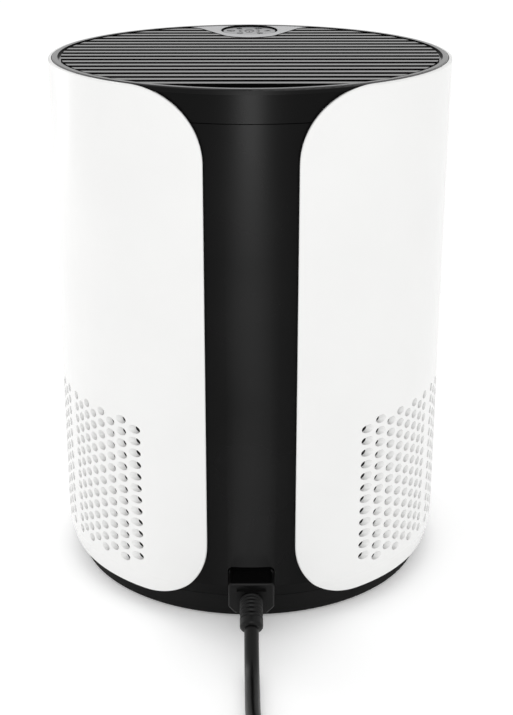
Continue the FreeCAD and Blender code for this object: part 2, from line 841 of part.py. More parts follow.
# ------------------------------------------------------------------------------ filter
def filter_parts():
    """Cartridge filter: two end caps, pleats, carbon, mesh, gasket and a pull tab."""
    cap_top = filter_bottom + dim.filter_cap
    ring_top = deck_height - dim.gasket_height
    ring_bottom = ring_top - dim.filter_cap
    height = ring_bottom - cap_top
    mesh_inner = filter_radius - 1.0
    carbon_inner = mesh_inner - 5.0
    keep(rod("filter_bottom_cap", filter_radius, dim.filter_cap,
             (0, 0, filter_bottom)))
    top = new_body("filter_top_ring")
    revolve(top, [(filter_bore, ring_bottom), (filter_radius, ring_bottom),
                  (filter_radius, ring_top), (filter_bore, ring_top)])
    keep(top)
    gasket = new_body("filter_gasket")
    seal_inner, seal_outer = filter_bore + 4.0, filter_bore + 16.0
    revolve(gasket, [(seal_inner, ring_top), (seal_outer, ring_top),
                     (seal_outer, deck_height), (seal_inner, deck_height)])
    keep(gasket)
    mesh = new_body("prefilter_mesh")
    revolve(mesh, [(mesh_inner, cap_top), (filter_radius, cap_top),
                   (filter_radius, ring_bottom), (mesh_inner, ring_bottom)])
    keep(mesh)
    carbon = new_body("carbon_sleeve")
    revolve(carbon, [(carbon_inner, cap_top), (mesh_inner, cap_top),
                     (mesh_inner, ring_bottom), (carbon_inner, ring_bottom)])
    keep(carbon)
    paper = 1.6
    folds = int(dim.pleat_count)
    outer, inner = [], []
    for step in range(folds * 2):
        angle = math.pi * step / folds
        reach = carbon_inner - 0.4 if step % 2 == 0 else filter_bore + 3.0
        spoke = Vector(math.cos(angle), math.sin(angle), 0)
        lift = Vector(0, 0, cap_top)
        outer.append(spoke * float(reach) + lift)
        inner.append(spoke * (float(reach) - paper) + lift)
    fold = Part.Face(Part.makePolygon(outer + outer[:1])).cut(
        Part.Face(Part.makePolygon(inner + inner[:1])))
    keep(shaped("filter_media", fold.Faces[0].extrude(Vector(0, 0, height))))
    keep(block("filter_pull_tab", (-10.0, -25.0, filter_bottom - 1.0),
               (20.0, 50.0, 1.0)))


# --------------------------------------------------------------------------- fan stage
def fan_deck():
    """Plate above the filter with the bellmouth that feeds the impeller."""
    body = new_body("fan_deck")
    lip = dim.bell_radius + dim.bell_wall
    outer = core_inner - dim.slip_gap
    revolve(body, [
        (dim.bell_radius + 6.0, deck_height), (outer, deck_height),
        (outer, deck_top), (lip + 5.0, deck_top), (lip, deck_top + 3.0),
        (lip, deck_top + dim.bell_rise), (dim.bell_radius, deck_top + dim.bell_rise),
        (dim.bell_radius, deck_height + 5.0)])
    holes = sketch_on(body, "XY_Plane", deck_top)
    for angle in BOSS_ANGLES:
        circle(holes, *around(boss_circle, angle), dim.screw_radius + 0.2)
    wires = dim.wire_inset - core_inner
    rectangle(holes, -dim.wire_slot_half, dim.wire_slot_half, wires - dim.wire_slot_reach,
              wires + dim.wire_slot_reach)
    pocket(body, holes, dim.deck_thickness + 0.1)
    keep(body)


def impeller():
    """Backward-curved blades between a hub plate and an inlet ring."""
    body = new_body("impeller")
    bore = dim.shaft_radius
    ring_inner = dim.bell_radius + dim.bell_wall + 1.6
    ring_top = impeller_bottom + 5.4
    revolve(body, [
        (bore, hub_plate_bottom - 9.0), (bore + 6.0, hub_plate_bottom - 9.0),
        (bore + 9.0, hub_plate_bottom), (impeller_radius, hub_plate_bottom),
        (impeller_radius, impeller_top), (bore, impeller_top)])
    sketch = sketch_on(body, "XY_Plane", ring_top - 0.6)
    tip = around(impeller_radius - 0.4, -38.0)
    tip_back = around(impeller_radius - 0.4, -38.0 - 2.2)
    root = around(ring_inner + 2.0, 0.0)
    root_back = around(ring_inner + 2.0, -2.2)
    curve = impeller_radius * 0.85
    outline(sketch, [(root[0], 0, -curve), tip, (tip_back[0], tip_back[1], curve),
                     root_back])
    blade = pad(body, sketch, hub_plate_bottom - ring_top + 0.9)
    repeat_round(body, blade, dim.blade_count)
    revolve(body, [(ring_inner, impeller_bottom), (ring_inner + 1.8, impeller_bottom),
                   (ring_inner + 1.8, ring_top - 1.8), (impeller_radius, ring_top - 1.8),
                   (impeller_radius, ring_top), (ring_inner, ring_top)])
    keep(body)


def motor():
    """Brushless motor: can, end plate, stator, bearings, and rotor on the shaft."""
    seat = dim.bearing_radius
    shaft_hole = dim.shaft_radius + 1.5
    can = new_body("motor_can")
    inner = dim.motor_radius - dim.motor_wall
    bearing_top = motor_bottom + dim.bearing_width
    revolve(can, [
        (seat, motor_bottom), (dim.motor_radius, motor_bottom),
        (dim.motor_radius, motor_top - 2.0), (inner, motor_top - 2.0),
        (inner, motor_bottom + 2.0), (seat + 2.0, motor_bottom + 2.0),
        (seat + 2.0, bearing_top + 1.5), (shaft_hole, bearing_top + 1.5),
        (shaft_hole, bearing_top), (seat, bearing_top)])
    keep(can)
    plate = new_body("motor_end_plate")
    low = motor_top - 2.0 - dim.bearing_width
    revolve(plate, [
        (shaft_hole, low - 1.5), (seat + 2.0, low - 1.5), (seat + 2.0, motor_top - 2.0),
        (dim.motor_radius, motor_top - 2.0), (dim.motor_radius, motor_top),
        (seat, motor_top), (seat, low), (shaft_hole, low)])
    keep(plate)
    for name, bottom in (("bearing_lower", motor_bottom), ("bearing_upper", low)):
        bearing = new_body(name)
        hole = dim.shaft_radius + dim.shaft_clearance
        revolve(bearing, [(hole, bottom), (seat, bottom), (seat, bottom + dim.bearing_width),
                          (hole, bottom + dim.bearing_width)])
        keep(bearing)
    core_low, core_high = motor_bottom + 12.0, motor_bottom + 28.0
    stator = new_body("stator_core")
    revolve(stator, [(dim.rotor_radius + dim.air_gap, core_low), (inner, core_low),
                     (inner, core_high), (dim.rotor_radius + dim.air_gap, core_high)])
    slots = sketch_on(stator, "XY_Plane", core_high)
    rectangle(slots, dim.rotor_radius + dim.air_gap + 1.5, inner - 4.0,
              -dim.slot_half_width, dim.slot_half_width)
    slot = pocket(stator, slots, dim.motor_height)
    repeat_round(stator, slot, 6)
    keep(stator)
    coils = []
    for turn in range(6):
        coil = block(f"stator_coil_{turn}", (dim.rotor_radius + dim.air_gap + 1.9, -3.6,
                                             core_low - 2.0),
                     (inner - 4.4 - dim.rotor_radius - dim.air_gap - 1.9, 7.2, 20.0))
        coil.Placement.Rotation = FreeCAD.Rotation(Vector(0, 0, 1), turn * 60.0)
        angle = math.radians(turn * 60.0)
        reach = dim.rotor_radius + dim.air_gap + 1.9
        bind(coil, "Placement.Base.x", reach * math.cos(angle) + 3.6 * math.sin(angle))
        bind(coil, "Placement.Base.y", reach * math.sin(angle) - 3.6 * math.cos(angle))
        coils.append(coil)
    keep(group_of("stator_windings", coils))
    rotor = new_body("rotor_magnet")
    revolve(rotor, [(dim.shaft_radius, core_low), (dim.rotor_radius, core_low),
                    (dim.rotor_radius, core_high), (dim.shaft_radius, core_high)])
    keep(rotor)
    keep(rod("motor_shaft", dim.shaft_radius, motor_top - 1.0 - hub_plate_bottom + 15.0,
             (0, 0, hub_plate_bottom - 15.0)))
    nut = new_body("impeller_nut")
    face = sketch_on(nut, "XY_Plane", hub_plate_bottom - 15.0)
    corner = dim.nut_across_flats / (2 * math.cos(math.pi / 6))
    outline(face, [around(corner, 60.0 * side) for side in range(6)])
    circle(face, 0, 0, dim.shaft_radius)
    pad(nut, face, dim.nut_height)
    keep(nut)


def diffuser():
    """Vaned ring that turns the air upwards and carries the motor in its cup."""
    body = new_body("diffuser")
    low = diffuser_bottom
    floor_top = motor_bottom
    cup_inner = dim.cup_radius - 2.0
    outer = core_inner - dim.slip_gap
    revolve(body, [(dim.bearing_radius + 3.0, low), (dim.cup_radius, low),
                   (dim.cup_radius, diffuser_top), (cup_inner, diffuser_top),
                   (cup_inner, floor_top), (dim.bearing_radius + 3.0, floor_top)])
    sketch = sketch_on(body, "XY_Plane", low)
    root, tip = dim.cup_radius - 1.0, outer - 1.0
    outline(sketch, [around(root, 8.7), around(tip, 17.4), around(tip, 18.6),
                     around(root, 11.3)])
    vane = pad(body, sketch, dim.diffuser_height)
    repeat_round(body, vane, dim.vane_count)
    revolve(body, [(outer - 2.0, low), (outer, low), (outer, diffuser_top),
                   (outer - 2.0, diffuser_top)])
    keep(body)


def motor_cover():
    """Domed lid that closes the motor's cup."""
    body = new_body("motor_cover")
    thick = 1.8
    rise = 9.0
    revolve(body, [(0, diffuser_top + rise - thick),
                   (dim.cup_radius - 14.0, diffuser_top + rise - thick),
                   (dim.cup_radius - 3.0, diffuser_top),
                   (dim.cup_radius, diffuser_top), (dim.cup_radius, diffuser_top + 1.5),
                   (dim.cup_radius - 13.0, diffuser_top + rise), (0, diffuser_top + rise)])
    keep(body)


def screw(name, x, y, under_head):
    """A pan-head screw that points down, by the height of the face under its head."""
    shank = rod(name + "_shank", dim.screw_radius, dim.screw_length,
                (x, y, under_head - dim.screw_length))
    head = rod(name + "_head", dim.screw_head_radius, dim.screw_head_height,
               (x, y, under_head))
    return joined(name, [shank, head])


def screws():
    """Screws through the fan deck into the core's bosses."""
    items = [screw(f"deck_screw_{number}", *around(boss_circle, angle), deck_top)
             for number, angle in enumerate(BOSS_ANGLES)]
    keep(group_of("housing_screws", items))


# ------------------------------------------------------------------------- electronics
def electronics():
    """Power board behind the rear strip, its larger parts, and the safety switch."""
    board_low = deck_top
    board_y = dim.board_inset - core_inner
    keep(block("power_board", (-28.0, board_y, board_low), (56.0, 1.6, 44.0)))
    face = board_y + 1.6
    keep(block("transformer", (-24.0, face, board_low + 6.0), (20.0, 11.0, 18.0)))
    keep(rod("filter_capacitor", 5.0, 18.0, (8.0, face + 5.0, board_low + 8.0)))
    keep(block("heat_sink", (16.0, face, board_low + 6.0), (3.0, 9.0, 26.0)))
    wires = []
    socket_top = inlet_top + dim.socket_wall
    for name, x in (("line", -7.0), ("earth", 0.0), ("neutral", 7.0)):
        wires.append(rod("wire_" + name, 1.1, board_low - socket_top,
                         (x, dim.wire_inset - core_inner, socket_top)))
    keep(group_of("inlet_wires", wires))
    switch_y = collar_outer + dim.lug_reach + 1.8
    keep(block("interlock_switch", (-10.0, switch_y, floor_ring_top), (20.0, 6.0, 9.0)))


# -------------------------------------------------------------------------- base cover
def base_cover():
    """Twist-off base with a bayonet collar, filter posts and a grip cup."""
    body = new_body("base_cover")
    low = dim.base_lift
    plate_top = low + dim.base_plate
    wall = dim.core_wall
    cup_top = low + dim.grip_cup_depth + dim.base_plate
    revolve(body, [
        (0, cup_top - dim.base_plate), (dim.grip_cup_radius, cup_top - dim.base_plate),
        (dim.grip_cup_radius, low), (tapered(base_radius, low), low),
        (tapered(base_radius, base_top), base_top),
        (tapered(base_radius, base_top) - wall, base_top),
        (tapered(base_radius, plate_top) - wall, plate_top),
        (collar_outer, plate_top), (collar_outer, collar_top), (collar_inner, collar_top),
        (collar_inner, plate_top), (dim.grip_cup_radius + wall, plate_top),
        (dim.grip_cup_radius + wall, cup_top), (0, cup_top)])
    lugs = sketch_on(body, "XY_Plane", lug_bottom)
    for angle in LUG_ANGLES:
        wedge(lugs, collar_outer - 1.0, collar_outer + dim.lug_reach, angle,
              LUG_HALF_ANGLE)
    pad(body, lugs, dim.lug_height)
    posts = sketch_on(body, "XY_Plane", plate_top - 0.5)
    for angle in (30.0, 150.0, 270.0):
        circle(posts, *around(collar_inner - 12.0, angle), dim.post_radius)
    pad(body, posts, filter_bottom - dim.turn_gap - plate_top + 0.5)
    bar = sketch_on(body, "XY_Plane", low + 0.8)
    rectangle(bar, -dim.grip_cup_radius - 1.0, dim.grip_cup_radius + 1.0,
              -dim.grip_bar_width / 2, dim.grip_bar_width / 2)
    pad(body, bar, dim.grip_cup_depth)
    seats = sketch_on(body, "XY_Plane", low)
    for angle in (45.0, 135.0, 225.0, 315.0):
        circle(seats, *around(foot_circle, angle), dim.foot_radius)
    pocket(body, seats, dim.foot_recess, upwards=True)
    dress(body, "Fillet", dim.base_edge_round, lambda at, edge: near(
        math.hypot(at.x, at.y), tapered(base_radius, low)) and near(at.z, low))
    keep(body)


def foot_pads():
    """Four rubber discs let into the base cover; they stand on the floor."""
    pads = []
    for number, angle in enumerate((45.0, 135.0, 225.0, 315.0)):
        x, y = around(foot_circle, angle)
        pads.append(rod(f"foot_{number}", dim.foot_radius, dim.base_lift + dim.foot_recess,
                        (x, y, 0)))
    keep(group_of("foot_pads", pads))


# -------------------------------------------------------------------------- mains lead
# The lead's points are given for a connector whose back is this far from the axis and
# whose middle is at this height, and they move with it. The last height is that of the
# lead's own middle where it lies on the floor.
LEAD_REACH = 122.6
INLET_LEVEL = 25.65
LYING_LEVEL = 3.95
CORD_POINTS = [
    (0.0, -141.0, 17.6), (0.0, -150.5, 12.5), (0.1, -163.0, 6.2), (0.2, -176.0, 3.95),
    (0.4, -208.0, 3.95), (6.1, -229.5, 3.95), (17.1, -248.6, 3.95), (28.0, -265.6, 3.95),
    (33.8, -284.7, 3.95), (34.7, -301.7, 4.3)]
TAIL_POINTS = [
    (30.9, -302.0, 11.8), (30.6, -323.0, 12.9), (26.8, -345.0, 7.0), (13.0, -367.5, 4.8),
    (-6.0, -381.5, 8.6), (-28.0, -385.0, 10.5)]
COIL_CENTRE = (-16.0, -302.0, 0.0)
lead_shift = Vector(0, LEAD_REACH - connector_back, 0)
lead_drop = (inlet_middle - LYING_LEVEL) / (INLET_LEVEL - LYING_LEVEL)
relief_start = Vector(0, -connector_back - dim.boss_depth - 2.0, inlet_middle - 0.35)


def lead_point(point):
    """A point of the lead, moved with the connector; its drop follows the inlet."""
    x, y, z = point
    if point in CORD_POINTS:
        z = LYING_LEVEL + (z - LYING_LEVEL) * lead_drop
    return Vector(x, y, z) + lead_shift


def tube(name, points, radius):
    """A round tube of straight runs joined by tangent arcs; prints the arcs' radii."""
    spots = [lead_point(point) for point in points]
    edges = []
    here = spots[0]
    radii = []
    for before, corner, after in zip(spots, spots[1:], spots[2:]):
        back, ahead = (before - corner), (after - corner)
        reach = 0.45 * min(back.Length, ahead.Length)
        back.normalize()
        ahead.normalize()
        turn = math.pi - back.getAngle(ahead)
        bend = reach / math.tan(turn / 2)
        radii.append(bend)
        start, end = corner + back * reach, corner + ahead * reach
        inward = (back + ahead).normalize()
        centre = corner + inward * math.hypot(reach, bend)
        crest = centre - inward * bend
        edges.append(Part.LineSegment(here, start).toShape())
        edges.append(Part.Arc(start, crest, end).toShape())
        here = end
    edges.append(Part.LineSegment(here, spots[-1]).toShape())
    path = Part.Wire(edges)
    ring = Part.Wire(Part.Circle(spots[0], spots[1] - spots[0], radius).toShape())
    solid = path.makePipeShell([ring], True, True)
    expected = math.pi * radius ** 2 * path.Length
    print(f"{name}: length {path.Length:.1f}, volume {solid.Volume / expected:.4f} of its "
          f"section times its length, radii " + ", ".join(f"{bend:.0f}" for bend in radii))
    if abs(solid.Volume / expected - 1) > 0.01:
        raise RuntimeError(f"{name} has the wrong volume")
    return keep(shaped(name, solid))


def connector():
    """Appliance connector with slots for the pins, and the boss that the lead leaves."""
    gap = dim.turn_gap
    low, high = inlet_bottom + gap, inlet_top - gap
    half = dim.inlet_half_width - gap
    body = new_body("connector_body")
    sketch = sketch_on(body, "XZ_Plane", inlet_floor + gap)
    slope = dim.connector_chamfer
    corner = dim.inlet_corner - gap
    outline(sketch, [(-half + slope, low), (half - slope, low), (half, low + slope),
                     (half, high - corner, corner), (half - corner, high),
                     (corner - half, high, corner), (-half, high - corner),
                     (-half, low + slope)])
    pad(body, sketch, connector_back - inlet_floor - gap)
    dress(body, "Fillet", dim.connector_round, lambda at, edge: near(
        at.y, -connector_back))
    middle = inlet_middle - 0.35
    boss = sketch_on(body, "XZ_Plane", connector_back - 0.5)
    rectangle(boss, -dim.boss_width / 2, dim.boss_width / 2, middle - dim.boss_height / 2,
              middle + dim.boss_height / 2)
    pad(body, boss, dim.boss_depth + 0.5)
    slots = sketch_on(body, "XZ_Plane", inlet_floor + gap)
    for x, z in ((-dim.pin_spacing / 2, inlet_middle + 2.0),
                 (dim.pin_spacing / 2, inlet_middle + 2.0), (MIDDLE, inlet_middle - 2.0)):
        wide, tall = dim.pin_width / 2 + gap, dim.pin_height / 2 + gap
        rectangle(slots, x - wide, x + wide, z - tall, z + tall)
    pocket(body, slots, dim.pin_length + 1.0, upwards=True)
    keep(body)


def strain_relief():
    """Ringed, drooping sleeve; its rings are grooves turned about its own axis."""
    boss_face = connector_back + dim.boss_depth
    start = relief_start
    neck = Part.makeCylinder(dim.relief_radius, -start.y - boss_face,
                             Vector(0, -boss_face, start.z), Vector(0, -1, 0))
    knuckle = Part.makeSphere(dim.relief_radius, start)
    axis = lead_point(CORD_POINTS[0]) - start
    length = axis.Length
    sleeve = Part.makeCone(dim.relief_radius, dim.relief_end_radius, length, start, axis)
    axis.normalize()
    rings = 5
    pitch = length / (rings + 0.5)
    outside_boss = Part.makeBox(40, 40, 40, Vector(-20, -boss_face - 40, 0))
    shape = neck.fuse([knuckle, sleeve]).common(outside_boss)
    for ring in range(rings):
        place = start + axis * (pitch * (ring + 0.75))
        outer = Part.makeCylinder(dim.relief_radius + 2, 1.1, place, axis)
        core = Part.makeCylinder(dim.relief_end_radius - 0.9, 1.1, place, axis)
        shape = shape.cut(outer.cut(core))
    keep(shaped("strain_relief", shape.removeSplitter()))


def coil():
    """The outer shape of the wound lead, and the strap round its turns."""
    width = dim.cord_radius * 2 * dim.coil_turns_across
    height = dim.cord_radius * 2 * (1 + (dim.coil_layers - 1) * 0.87)
    low = dim.coil_lift
    inner, outer = dim.coil_radius - width / 2, dim.coil_radius + width / 2
    body = new_body("cord_coil")
    revolve(body, [(inner, low), (outer, low), (outer, low + height), (inner, low + height)])
    dress(body, "Fillet", dim.coil_round, lambda at, edge: True)
    centre = lead_point(COIL_CENTRE)
    body.Placement.Base = centre
    keep(body)
    strap = 0.8
    left = centre.x - outer
    half = dim.tie_width / 2
    band = block("tie_outside", (left - strap - 0.2, centre.y - half, low - strap - 0.1),
                 (width + strap * 2 + 0.8, dim.tie_width, height + strap * 2 + 0.2))
    gap = block("tie_inside", (left - 0.2, centre.y - half - 1.0, low - 0.1),
                (width + 0.8, dim.tie_width + 2.0, height + 0.2))
    keep(cut("coil_tie", band, gap))


def mains_plug():
    """Moulded plug that lies beside the coil, with two flat blades and an earth pin."""
    start = lead_point(TAIL_POINTS[-1])
    heading = start - lead_point(TAIL_POINTS[-2])
    heading.z = 0
    heading.normalize()
    angle = math.degrees(math.atan2(heading.y, heading.x))
    placement = FreeCAD.Placement(start, FreeCAD.Rotation(Vector(0, 0, 1), angle))
    relief, length = dim.plug_relief, dim.plug_length
    sleeve = Part.makeCone(dim.cord_radius + 1.6, dim.cord_radius + 4.0, relief + 4.0,
                           Vector(0, 0, 0), Vector(1, 0, 0))
    body = Part.makeBox(length, dim.plug_width, dim.plug_thickness,
                        Vector(relief, -dim.plug_width / 2, -dim.plug_thickness / 2))
    body = body.makeFillet(4.0, body.Edges)
    keep(shaped("mains_plug", body.fuse(sleeve), placement))
    front = relief + length
    parts = []
    for side in (-1.0, 1.0):
        parts.append(Part.makeBox(
            dim.blade_length, dim.flat_blade_thickness, dim.blade_width,
            Vector(front, side * dim.flat_blade_spacing / 2 - dim.flat_blade_thickness / 2,
                   2.8 - dim.blade_width / 2)))
    pin = Part.makeCylinder(dim.earth_pin_radius, dim.earth_pin_length,
                            Vector(front, 0, 2.8 - dim.earth_pin_offset + 4.0),
                            Vector(1, 0, 0))
    parts.append(pin)
    keep(shaped("plug_blades", Part.makeCompound(parts), placement))


# ------------------------------------------------------------------------------- build
def check_and_write():
    """Refuses a failed or empty object, then writes one file for each piece."""
    doc.recompute()
    for item in doc.Objects:
        if "Invalid" in item.State or "Error" in item.State:
            raise RuntimeError(f"{item.Name} failed: {item.State}")
    names = [piece.Label for piece in pieces]
    if len(set(names)) != len(names):
        raise RuntimeError("two pieces share a name")
    for piece in pieces:
        if piece.Shape.isNull() or not piece.Shape.isValid() or not piece.Shape.Solids:
            raise RuntimeError(f"{piece.Label} has no valid solid")
    os.makedirs("parts", exist_ok=True)
    for piece in pieces:
        piece.Shape.exportStep(f"parts/{piece.Label}.step")
        print(f"{piece.Label}: {len(piece.Shape.Solids)} solid(s), "
              f"{piece.Shape.Volume / 1000:.2f} cm3")


side_shells()
core_and_inlet()
inlet_pins()
top_cap()
outlet_grille()
control_bezel()
button_cap()
control_tray()
control_electronics()
filter_parts()
fan_deck()
impeller()
motor()
diffuser()
motor_cover()
screws()
electronics()
base_cover()
foot_pads()
connector()
strain_relief()
tube("power_cord", CORD_POINTS, dim.cord_radius)
coil()
tube("cord_tail", TAIL_POINTS, dim.cord_radius)
mains_plug()
check_and_write()
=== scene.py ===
import math

import bmesh
import bpy
from mathutils import Matrix, Vector
from mathutils.geometry import delaunay_2d_cdt


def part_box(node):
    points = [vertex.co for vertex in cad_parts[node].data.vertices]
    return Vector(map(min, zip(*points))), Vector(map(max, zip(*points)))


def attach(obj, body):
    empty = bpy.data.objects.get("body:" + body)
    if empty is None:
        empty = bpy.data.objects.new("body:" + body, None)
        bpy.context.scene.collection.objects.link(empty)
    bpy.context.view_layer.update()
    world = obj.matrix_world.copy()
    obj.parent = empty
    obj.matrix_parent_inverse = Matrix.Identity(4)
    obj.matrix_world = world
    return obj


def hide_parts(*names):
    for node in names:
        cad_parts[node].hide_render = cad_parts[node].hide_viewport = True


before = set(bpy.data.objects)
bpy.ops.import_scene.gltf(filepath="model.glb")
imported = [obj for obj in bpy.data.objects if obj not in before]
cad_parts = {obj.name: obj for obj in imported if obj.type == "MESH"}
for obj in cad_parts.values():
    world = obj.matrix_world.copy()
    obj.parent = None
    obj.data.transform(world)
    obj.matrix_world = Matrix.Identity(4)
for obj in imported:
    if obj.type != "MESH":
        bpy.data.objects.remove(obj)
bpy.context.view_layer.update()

bl_info = {
    "name": "Round room air purifier",
    "version": (1, 0, 0),
    "blender": (4, 5, 0),
    "location": "View3D > Sidebar > Purifier",
    "description": "Finishes and detail pieces for a round two-shell room air purifier",
    "category": "Object",
}

MM = 0.001


def linear(code):
    """An sRGB hex value as a linear RGBA colour."""
    def channel(pair):
        value = int(pair, 16) / 255
        return value / 12.92 if value <= 0.04045 else ((value + 0.055) / 1.055) ** 2.4
    return tuple(channel(code[at:at + 2]) for at in (0, 2, 4)) + (1.0,)


# ------------------------------------------------------------------------- settings
class PurifierSizes(bpy.types.PropertyGroup):
    """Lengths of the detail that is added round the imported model."""
    cord_radius: bpy.props.FloatProperty(
        name="Lead radius", description="Half the width of the mains lead's sheath",
        default=0.003875, min=0.002, unit="LENGTH", precision=5)
    edge_round: bpy.props.FloatProperty(
        name="Edge rounding", description="Radius that the mould leaves on outer edges",
        default=0.00035, min=0.0001, unit="LENGTH", precision=5)
    lip_rise: bpy.props.FloatProperty(
        name="Finger lip", description="Rise of the bezel behind the control disc",
        default=0.0009, min=0.0, unit="LENGTH", precision=5)
    disc_dish: bpy.props.FloatProperty(
        name="Disc dish", description="How far the middle of the control disc is dished",
        default=0.0002, min=0.0, unit="LENGTH", precision=5)
    icon_stroke: bpy.props.FloatProperty(
        name="Icon stroke", description="Line width of the printed icons",
        default=0.0008, min=0.0002, unit="LENGTH", precision=5)
    relief_rings: bpy.props.IntProperty(
        name="Strain relief rings", description="Ribs along the lead's strain relief",
        default=6, min=3, max=12)
    plug_ribs: bpy.props.IntProperty(
        name="Plug grip ribs", description="Finger ribs on each flank of the plug",
        default=4, min=0, max=8)


class PurifierColours(bpy.types.PropertyGroup):
    """Base colours of the parts that show."""
    shell: bpy.props.FloatVectorProperty(
        name="Side shells", description="White of the two bent side shells",
        subtype="COLOR", size=3, min=0.0, max=1.0, default=linear("EEEEED")[:3])
    core: bpy.props.FloatVectorProperty(
        name="Core", description="Black of the core, the grille and the base",
        subtype="COLOR", size=3, min=0.0, max=1.0, default=linear("050505")[:3])
    bezel: bpy.props.FloatVectorProperty(
        name="Control bezel", description="Silver grey of the bezel",
        subtype="COLOR", size=3, min=0.0, max=1.0, default=linear("9B9C9E")[:3])
    disc: bpy.props.FloatVectorProperty(
        name="Control disc", description="Darker silver grey of the control disc",
        subtype="COLOR", size=3, min=0.0, max=1.0, default=linear("858688")[:3])
    icons: bpy.props.FloatVectorProperty(
        name="Icon ink", description="Dark ink that the icons are printed in",
        subtype="COLOR", size=3, min=0.0, max=1.0, default=linear("161617")[:3])
    lead: bpy.props.FloatVectorProperty(
        name="Mains lead", description="Black of the lead, its connector and its plug",
        subtype="COLOR", size=3, min=0.0, max=1.0, default=linear("050505")[:3])


def sizes():
    return bpy.context.scene.purifier_sizes


def colours():
    return bpy.context.scene.purifier_colours


# ------------------------------------------------------------------ material helpers
def add(tree, kind, **values):
    """Adds a node. A value goes to the property or the input of that name, with _ for a
    space, or in_3 for input 3; a socket given as a value is linked."""
    item = tree.nodes.new(kind)
    for name, value in values.items():
        if name.startswith("in_"):
            place = item.inputs[int(name[3:])]
        elif hasattr(item, name):
            setattr(item, name, value)
            continue
        else:
            place = item.inputs[name.replace("_", " ")]
        if isinstance(value, bpy.types.NodeSocket):
            tree.links.new(value, place)
        else:
            place.default_value = value
    return item


def new_material(name, colour, roughness, **shader_values):
    """A material with a Principled shader, and the place on the object in metres."""
    material = bpy.data.materials.new(name)
    material.use_nodes = True
    tree = material.node_tree
    tree.nodes.clear()
    place = add(tree, "ShaderNodeTexCoord").outputs["Object"]
    colour = (*colour[:3], 1.0)
    shader = add(tree, "ShaderNodeBsdfPrincipled", Base_Color=colour,
                 Roughness=roughness, **shader_values)
    add(tree, "ShaderNodeOutputMaterial", Surface=shader.outputs[0])
    material.diffuse_color = colour
    return material, tree, shader, place


def per_metre(size):
    """How many blobs or grains of this size in millimetres go into a metre."""
    return 1.0 / (size * MM)


def round_stripes(tree, place, radius, pitch):
    """Sine bands that run up a wall of this radius, pitched along its arc, both in
    millimetres."""
    parts = add(tree, "ShaderNodeSeparateXYZ", Vector=place)
    angle = add(tree, "ShaderNodeMath", operation="ARCTAN2", in_0=parts.outputs[1],
                in_1=parts.outputs[0]).outputs[0]
    count = round(math.tau * radius / pitch)
    wave = add(tree, "ShaderNodeMath", operation="MULTIPLY", in_0=angle,
               in_1=float(count)).outputs[0]
    return add(tree, "ShaderNodeMath", operation="SINE", in_0=wave).outputs[0]


def shade(colour, factor):
    """A colour made lighter or darker by a factor."""
    return tuple(min(1.0, part * factor) for part in colour[:3]) + (1.0,)


def coloured_and_bumped(tree, shader, factor, first, second, height, depth):
    """Mixes two colours by a factor into the shader, and bumps it by a height that
    runs 0 to 1 over this depth in millimetres."""
    mix = add(tree, "ShaderNodeMix", data_type="RGBA", Factor=factor, in_6=first,
              in_7=second)
    tree.links.new(mix.outputs[2], shader.inputs["Base Color"])
    bump = add(tree, "ShaderNodeBump", Height=height, Distance=depth * MM, Strength=1.0)
    tree.links.new(bump.outputs[0], shader.inputs["Normal"])


def moulded(name, colour, roughness, grain, depth, spread=0.05, **shader_values):
    """Injection-moulded plastic: a spark-eroded grain, and flow marks in its gloss."""
    material, tree, shader, place = new_material(name, colour, roughness,
                                                 **shader_values)
    flow = add(tree, "ShaderNodeTexNoise", Vector=place, Scale=per_metre(55.0),
               Detail=3.0).outputs["Fac"]
    gloss = add(tree, "ShaderNodeMapRange", Value=flow, From_Min=0.3, From_Max=0.7,
                To_Min=roughness - spread, To_Max=roughness + spread).outputs[0]
    grains = add(tree, "ShaderNodeTexNoise", Vector=place, Scale=per_metre(grain),
                 Detail=1.0).outputs["Fac"]
    tree.links.new(gloss, shader.inputs["Roughness"])
    coloured_and_bumped(tree, shader, flow, shade(colour, 0.97), shade(colour, 1.03),
                        grains, depth)
    return material


def louvred(name, colour):
    """Black plastic that is polished on its upper faces and fine-grained down its
    sides, so that bars read as bright lines over dark gaps."""
    material, tree, shader, place = new_material(name, colour, 0.2, IOR=1.5)
    facing = add(tree, "ShaderNodeSeparateXYZ", Vector=add(
        tree, "ShaderNodeNewGeometry").outputs["Normal"]).outputs[2]
    for value, down_sides, on_top in (("Specular IOR Level", 0.1, 0.5),
                                      ("Roughness", 0.34, 0.18)):
        spread = add(tree, "ShaderNodeMapRange", Value=facing, From_Min=0.2,
                     From_Max=0.7, To_Min=down_sides, To_Max=on_top).outputs[0]
        tree.links.new(spread, shader.inputs[value])
    flow = add(tree, "ShaderNodeTexNoise", Vector=place, Scale=per_metre(30.0),
               Detail=2.0).outputs["Fac"]
    grains = add(tree, "ShaderNodeTexNoise", Vector=place, Scale=per_metre(0.8),
                 Detail=1.0).outputs["Fac"]
    coloured_and_bumped(tree, shader, flow, shade(colour, 0.6), shade(colour, 1),
                        grains, 0.0005)
    return material


